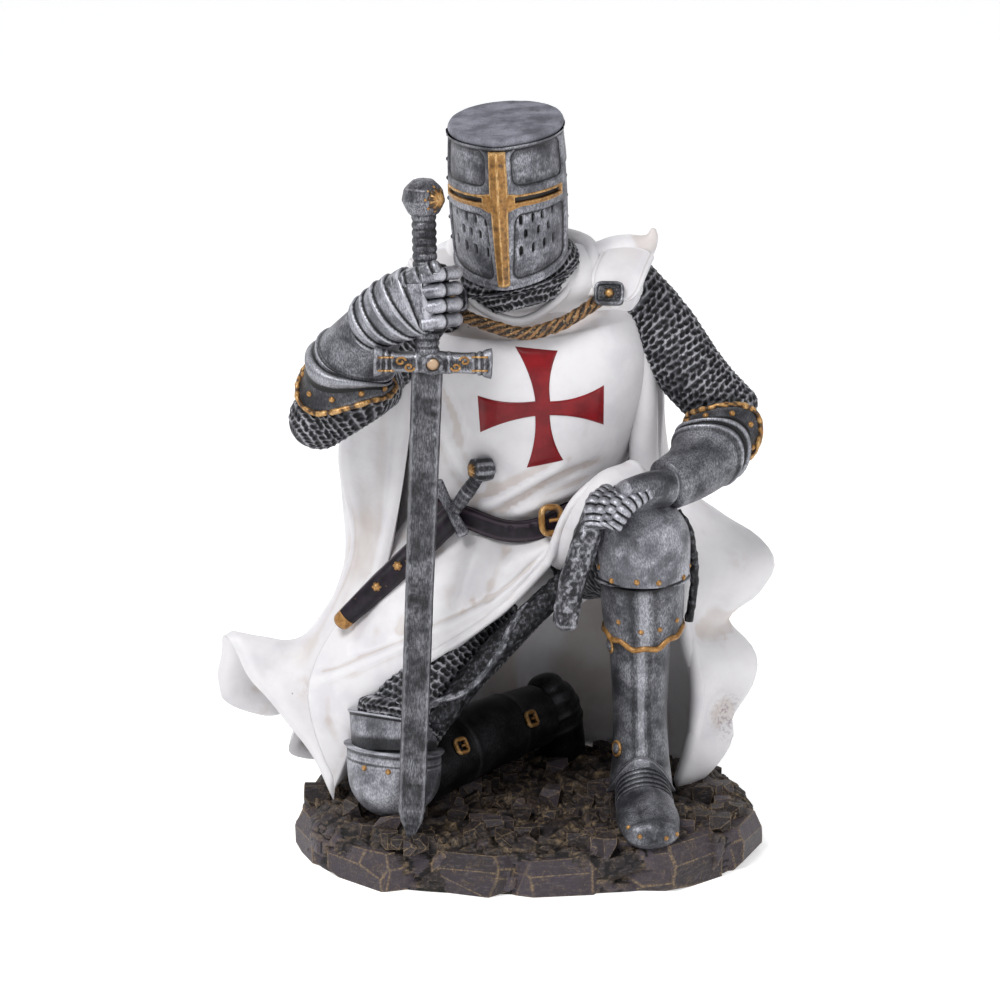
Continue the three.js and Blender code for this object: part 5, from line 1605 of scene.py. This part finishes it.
def grip():
    ends = [[*SWORD_GUARD, GRIP_RADIUS, GRIP_RADIUS], [*SWORD_POMMEL, GRIP_RADIUS, GRIP_RADIUS]]
    long = SWORD_POMMEL[2] - SWORD_GUARD[2]
    rings = lambda turn, t: 0.9 + 0.13 * np.abs(np.sin(math.pi * t * long / GRIP_PITCH)) ** 0.7
    make("sword_grip", limb(ends, X, 32, 180, (0, 0), rings).hollows(0.4, 0.8), BLACK_STEEL, "sword")


def pommel():
    """The faceted pommel with a gold flower, and beads round it, on the face towards the front."""
    ways = [unit(np.array([math.cos(a) * math.cos(b), math.sin(a) * math.cos(b), math.sin(b)]))
            for b, count in POMMEL_ROWS for a in np.arange(count) * TAU / count + b]
    make("sword_pommel", faceted(SWORD_POMMEL, np.array(ways), POMMEL_REACH, 56, 34), ROUGH_STEEL, "sword")
    across, rise, out = basis(POMMEL_BOSS_WAY)
    bosses = [dome(SWORD_POMMEL + out * 4.3, out, 2.5, 1.2, 32, 8, petals=8)]
    for k in range(POMMEL_BEADS):
        turn = TAU * k / POMMEL_BEADS
        way = unit(out + 0.72 * (across * math.cos(turn) + rise * math.sin(turn)))
        bosses.append(dome(SWORD_POMMEL + way * 4.4, way, 0.5, 0.5, 10, 4))
    make("pommel_boss", [boss.hollows(0.3) for boss in bosses], GOLD, "sword")


# Base.
SQUARENESS = 2.6
STONES = 13
CHIPS = 9  # cuts that each rim stone has besides its chamfers
CHIPPING = 0.14  # how deep those cuts go at most, as a share of the stone's reach
RUBBLE = 190
# The x, y and size of some chips.
BY_THE_POINT = [(-29.6, -38.2, 2.4), (-24.4, -38.8, 2.6), (-27, -40.4, 2.4), (-31.4, -35, 2.4),
                (-22.4, -35.6, 2.2)]
ROUND = 300  # points round the rock
UNDER = -POSE_ORIGIN  # the middle of the base's underside, in pose millimetres
# The rock's shares of the way out to its edge, and heights, from its underside up and in to the middle.
ROCK_LEVELS = [[0.94, 0], [0.95, 6.6], [0.9, 9.9], [0.75, 11.2], [0.45, GROUND], [0.2, GROUND],
               [0.02, GROUND]]


def rough_number(i, seed):
    """A repeatable number from 0 to 1 for each stone and seed."""
    wave = math.sin(i * 12.9898 + seed * 78.233) * 43758.5453
    return wave - math.floor(wave)


def base_place(turn, share=1.0):
    """A place across the base at a turn, with 1 on its edge."""
    reach = squared(turn, SQUARENESS) * share
    return BASE_WIDTH / 2 * reach * np.cos(turn), BASE_DEPTH / 2 * reach * np.sin(turn)


def rock_slab():
    """The ground, broken into tilted chips."""
    turn = TAU * np.arange(ROUND) / ROUND
    share = np.concatenate((np.linspace(0, 2, 22)[:-1], np.linspace(2, 6, 72))) / 6
    profile = through(ROCK_LEVELS, share)
    x, y = (profile[:, :1] * side for side in base_place(turn))
    grid = Grid(np.stack([x, y, np.repeat(profile[:, 1:], ROUND, 1)], -1) + UNDER, wrap=True)
    grid.tips = [UNDER, UNDER + GROUND * Z]
    broad, broad_edge, tone = shattered(grid.points, 8.5, 0.22, 81)
    small, small_edge, _ = shattered(grid.points, 4.0, 0.36, 82)
    tall = grid.points[..., 2] + GROUND
    top = smooth(7, 10.5, tall)
    chips = (broad + (0.35 + 0.65 * top) * small) * smooth(0.2, 2.0, tall)
    grid.raise_by(chips + 0.1 * lumps(grid.points, 1.4, 83))
    grid.points[..., 2] = np.maximum(grid.points[..., 2], -GROUND)
    grid.hollows(0.6, 1.6)
    grid.marks["tint"] = tone * (1 - 0.6 * top)
    grid.marks["edge"] = np.clip(0.7 * broad_edge + 0.45 * small_edge * top, 0, 1)
    make("rock_ground", grid, ROCK, "rock_base")


def hull_planes(low, middle, high):
    """The planes of a block from its three rings of corners, as directions and offsets."""
    normals, offsets = [], []
    centre = np.concatenate((low, middle, high)).mean(0)

    def add(a, b, c):
        normal = unit(np.cross(b - a, c - a))
        if normal @ (a - centre) < 0:
            normal = -normal
        normals.append(normal)
        offsets.append(normal @ (a - centre))

    count = len(low)
    for i in range(count):
        j = (i + 1) % count
        add(low[i], low[j], (middle[i] + middle[j]) / 2)
        add(middle[i], middle[j], (high[i] + high[j]) / 2)
        corner = unit((middle[i] - centre) * (1, 1, 0))
        normals.append(corner)
        offsets.append(0.95 * corner @ (middle[i] - centre))
    add(high[0], high[2], high[3])
    add(low[0], low[2], low[3])
    return centre, np.array(normals), np.array(offsets)


def corners_of(ways, gaps):
    """The corners of a stone cut by planes, each a direction and a distance, and which planes meet there."""
    trios = np.array(list(combinations(range(len(ways)), 3)))
    trios = trios[np.abs(np.linalg.det(ways[trios])) > 1e-4]
    corners = np.linalg.solve(ways[trios], gaps[trios][..., None])[..., 0]
    inside = (corners @ ways.T <= gaps + 1e-6).all(1)
    return corners[inside], trios[inside]


def chipped(ways, gaps, cuts, depth):
    """The planes of a stone with some more cuts, each as deep as a share of its reach."""
    corners, _ = corners_of(ways, gaps)
    more = unit(rng.normal(size=(cuts, 3)))
    reach = (corners @ more.T).max(0) * (1 - depth * rng.uniform(0.4, 1, cuts))
    return np.concatenate((ways, more)), np.concatenate((gaps, reach))


def cut_stone(centre, ways, gaps, border):
    """A stone's flat faces, each with a narrow border that is marked as its edge."""
    corners, trios = corners_of(ways, gaps)
    faces = []
    for k, way in enumerate(ways):
        own = corners[(trios == k).any(1)]
        if len(own) < 3:
            continue
        middle = own.mean(0)
        across, rise, _ = basis(way, Z + 0.3 * X + 0.1 * Y)
        ring = own[np.argsort(np.arctan2((own - middle) @ rise, (own - middle) @ across))]
        away = np.linalg.norm(ring - middle, axis=1, keepdims=True)
        inner = ring + (middle - ring) * np.minimum(border / away, 0.5)
        face = Grid(centre + np.stack([ring, inner]), wrap=True, tips=[None, centre + middle])
        face.marks["edge"] = np.array([[1.0], [0.0]])
        faces.append(face)
    return faces


def tinted(faces, tint):
    """Gives each face of a stone a tone of its own."""
    for face in faces:
        face.marks["tint"] = tint + 0.25 * rng.random()
    return faces


def rim_stone(i):
    """A broken stone of the base's edge, a block with chamfered and chipped edges."""
    turn = TAU * (i + 0.35 * rough_number(i, 1)) / STONES
    rx, ry = base_place(turn)
    place = np.array([0.82 * rx, 0.82 * ry])
    outwards = math.atan2(place[1] / BASE_DEPTH, place[0] / BASE_WIDTH)
    out = np.array([math.cos(outwards), math.sin(outwards)])
    aside = np.array([-math.sin(outwards), math.cos(outwards)])
    deep = 0.187 * math.hypot(rx, ry)
    long = BASE_WIDTH * (0.12 + 0.04 * rough_number(i, 6))
    tall = GROUND * (0.5 + 0.4 * rough_number(i, 2))

    def ring(share, z):
        corners = []
        for j in range(5 * i, 5 * i + 5):
            angle = TAU * (j - 5 * i + 0.5 + 0.3 * (rough_number(j, 3) - 0.5)) / 5
            x, y = place + deep * share * math.cos(angle) * out + long * share * math.sin(angle) * aside
            tilt = 1.4 * (rough_number(j, 5) - 0.5) if z else 0
            corners.append([x, y, z + tilt])
        return UNDER + corners

    centre, ways, gaps = hull_planes(ring(0.97, 0), ring(1, tall * 0.7), ring(0.8, tall + 1))
    ways = np.concatenate((ways, [-Z]))
    gaps = np.append(gaps, centre[2] + GROUND)
    ways, gaps = chipped(ways, gaps, CHIPS, CHIPPING)
    return tinted(cut_stone(centre, ways, gaps, 0.7), 0.3 + 0.4 * rough_number(i, 8))


def loose_chip(i):
    """A small sharp stone on the ground. The first few lie by the sword's point."""
    turn = TAU * rng.random()
    share = 0.9 * rng.random() ** 0.5
    size = rng.uniform(1.3, 3.9)
    x, y = base_place(turn, share)
    if i < len(BY_THE_POINT):
        x, y, size = BY_THE_POINT[i]
        y, share = y + FIGURE_Y, 0
    ways = np.concatenate((unit(rng.normal(size=(9, 3))), np.eye(3), -np.eye(3)))
    gaps = size * rng.uniform(0.55, 0.95, len(ways))
    lift = GROUND * (1.0 if share < 0.8 else 0.9) + size * 0.1
    return tinted(cut_stone(UNDER + [x, y, lift], ways, gaps, 0.3), 0.45 * rng.random())


def stones(name, stone, count):
    make(name, [face for i in range(count) for face in stone(i)], ROCK, "rock_base", welded=True)


# The whole figurine.
painted_cross(Skin(surcoat()))
neck_dress()
tabs()
shoulder_fin()
cloak()
skirt()
belt()
dagger()
helm()
coif()
mail_arms()
cuffs()
hands()
left_knee()
left_knee_plate()
left_shin()
left_foot()
right_thigh()
right_knee()
right_shin()
lap()
blade()
guard()
grip()
pommel()
rock_slab()
stones("rim_stones", rim_stone, STONES)
stones("rubble", loose_chip, RUBBLE)


# Floor, light and camera, in metres.
FLOOR_FRONT = -2.5
FLOOR_BEND = 1.0  # where the floor starts to bend up
FLOOR_RADIUS = 0.8  # of that bend
FLOOR_TOP = 3.5
FLOOR_SIDE = 4
FLOOR_GLOW = {"Emission Color": (1, 1, 1, 1), "Emission Strength": 0.5}
SKY = (0.95, 0.97, 1.0, 1)
SKY_STRENGTH = 0.34
LIGHT_TARGET = (0, 0, 0.09)
# Each light's place, width and power in watts.
LIGHTS = {
    "key light": ((-0.3, -0.55, 0.75), 0.4, 6.2),
    "fill light": ((0.65, -0.5, 0.35), 0.6, 1.6),
    "rear light": ((-0.65, 0.35, 0.5), 0.25, 1.0),
}
CAMERA_TARGET = Vector((-0.0065, -0.0015, 0.0825))
CAMERA_DISTANCE = 0.9
CAMERA_RISE = math.radians(13)
CAMERA_SENSOR = 36  # millimetres
PIXELS_PER_MILLIMETRE = 4.3  # at the target, in a picture 1000 wide


def pale_floor():
    """A pale floor that bends up into a wall behind the figurine."""
    mesh = bpy.data.meshes.new("pale_floor")
    curve = [(FLOOR_BEND + FLOOR_RADIUS * math.sin(a), FLOOR_RADIUS - FLOOR_RADIUS * math.cos(a))
             for a in np.linspace(0, math.pi / 2, 24)]
    profile = [(FLOOR_FRONT, 0), *curve, (FLOOR_BEND + FLOOR_RADIUS, FLOOR_TOP)]
    corners = [(x, y, z) for y, z in profile for x in (-FLOOR_SIDE, FLOOR_SIDE)]
    strips = [(2 * k, 2 * k + 1, 2 * k + 3, 2 * k + 2) for k in range(len(profile) - 1)]
    mesh.from_pydata(corners, [], strips)
    mesh.polygons.foreach_set("use_smooth", np.ones(len(strips), bool))
    mesh.materials.append(Paint("pale floor paint").finish((0.8, 0.8, 0.8, 1), 0.9, **FLOOR_GLOW))
    floor = bpy.data.objects.new("pale_floor", mesh)
    bpy.context.scene.collection.objects.link(floor)


def studio_light():
    """A pale sky and three round lamps, the brightest at the front and to the left of the picture."""
    world = bpy.data.worlds.new("pale studio")
    bpy.context.scene.world = world
    world.use_nodes = True
    sky = world.node_tree.nodes["Background"]
    sky.inputs["Color"].default_value = SKY
    sky.inputs["Strength"].default_value = SKY_STRENGTH
    for name, (place, size, power) in LIGHTS.items():
        light = bpy.data.lights.new(name, "AREA")
        light.shape = "DISK"
        light.size = size
        light.energy = power
        lamp = bpy.data.objects.new(name, light)
        lamp.location = place
        lamp.rotation_euler = (Vector(LIGHT_TARGET) - Vector(place)).to_track_quat("-Z", "Y").to_euler()
        bpy.context.scene.collection.objects.link(lamp)
    bpy.context.scene.view_settings.view_transform = "Standard"


def photo_camera():
    data = bpy.data.cameras.new("camera")
    data.sensor_width = CAMERA_SENSOR
    data.lens = data.sensor_width * PIXELS_PER_MILLIMETRE * CAMERA_DISTANCE
    data.clip_start, data.clip_end = 0.01, 20
    camera = bpy.data.objects.new("camera", data)
    back = Vector((0, -math.cos(CAMERA_RISE), math.sin(CAMERA_RISE)))
    camera.location = CAMERA_TARGET + back * CAMERA_DISTANCE
    camera.rotation_euler = back.to_track_quat("Z", "Y").to_euler()
    bpy.context.scene.collection.objects.link(camera)
    bpy.context.scene.camera = camera


pale_floor()
studio_light()
photo_camera()
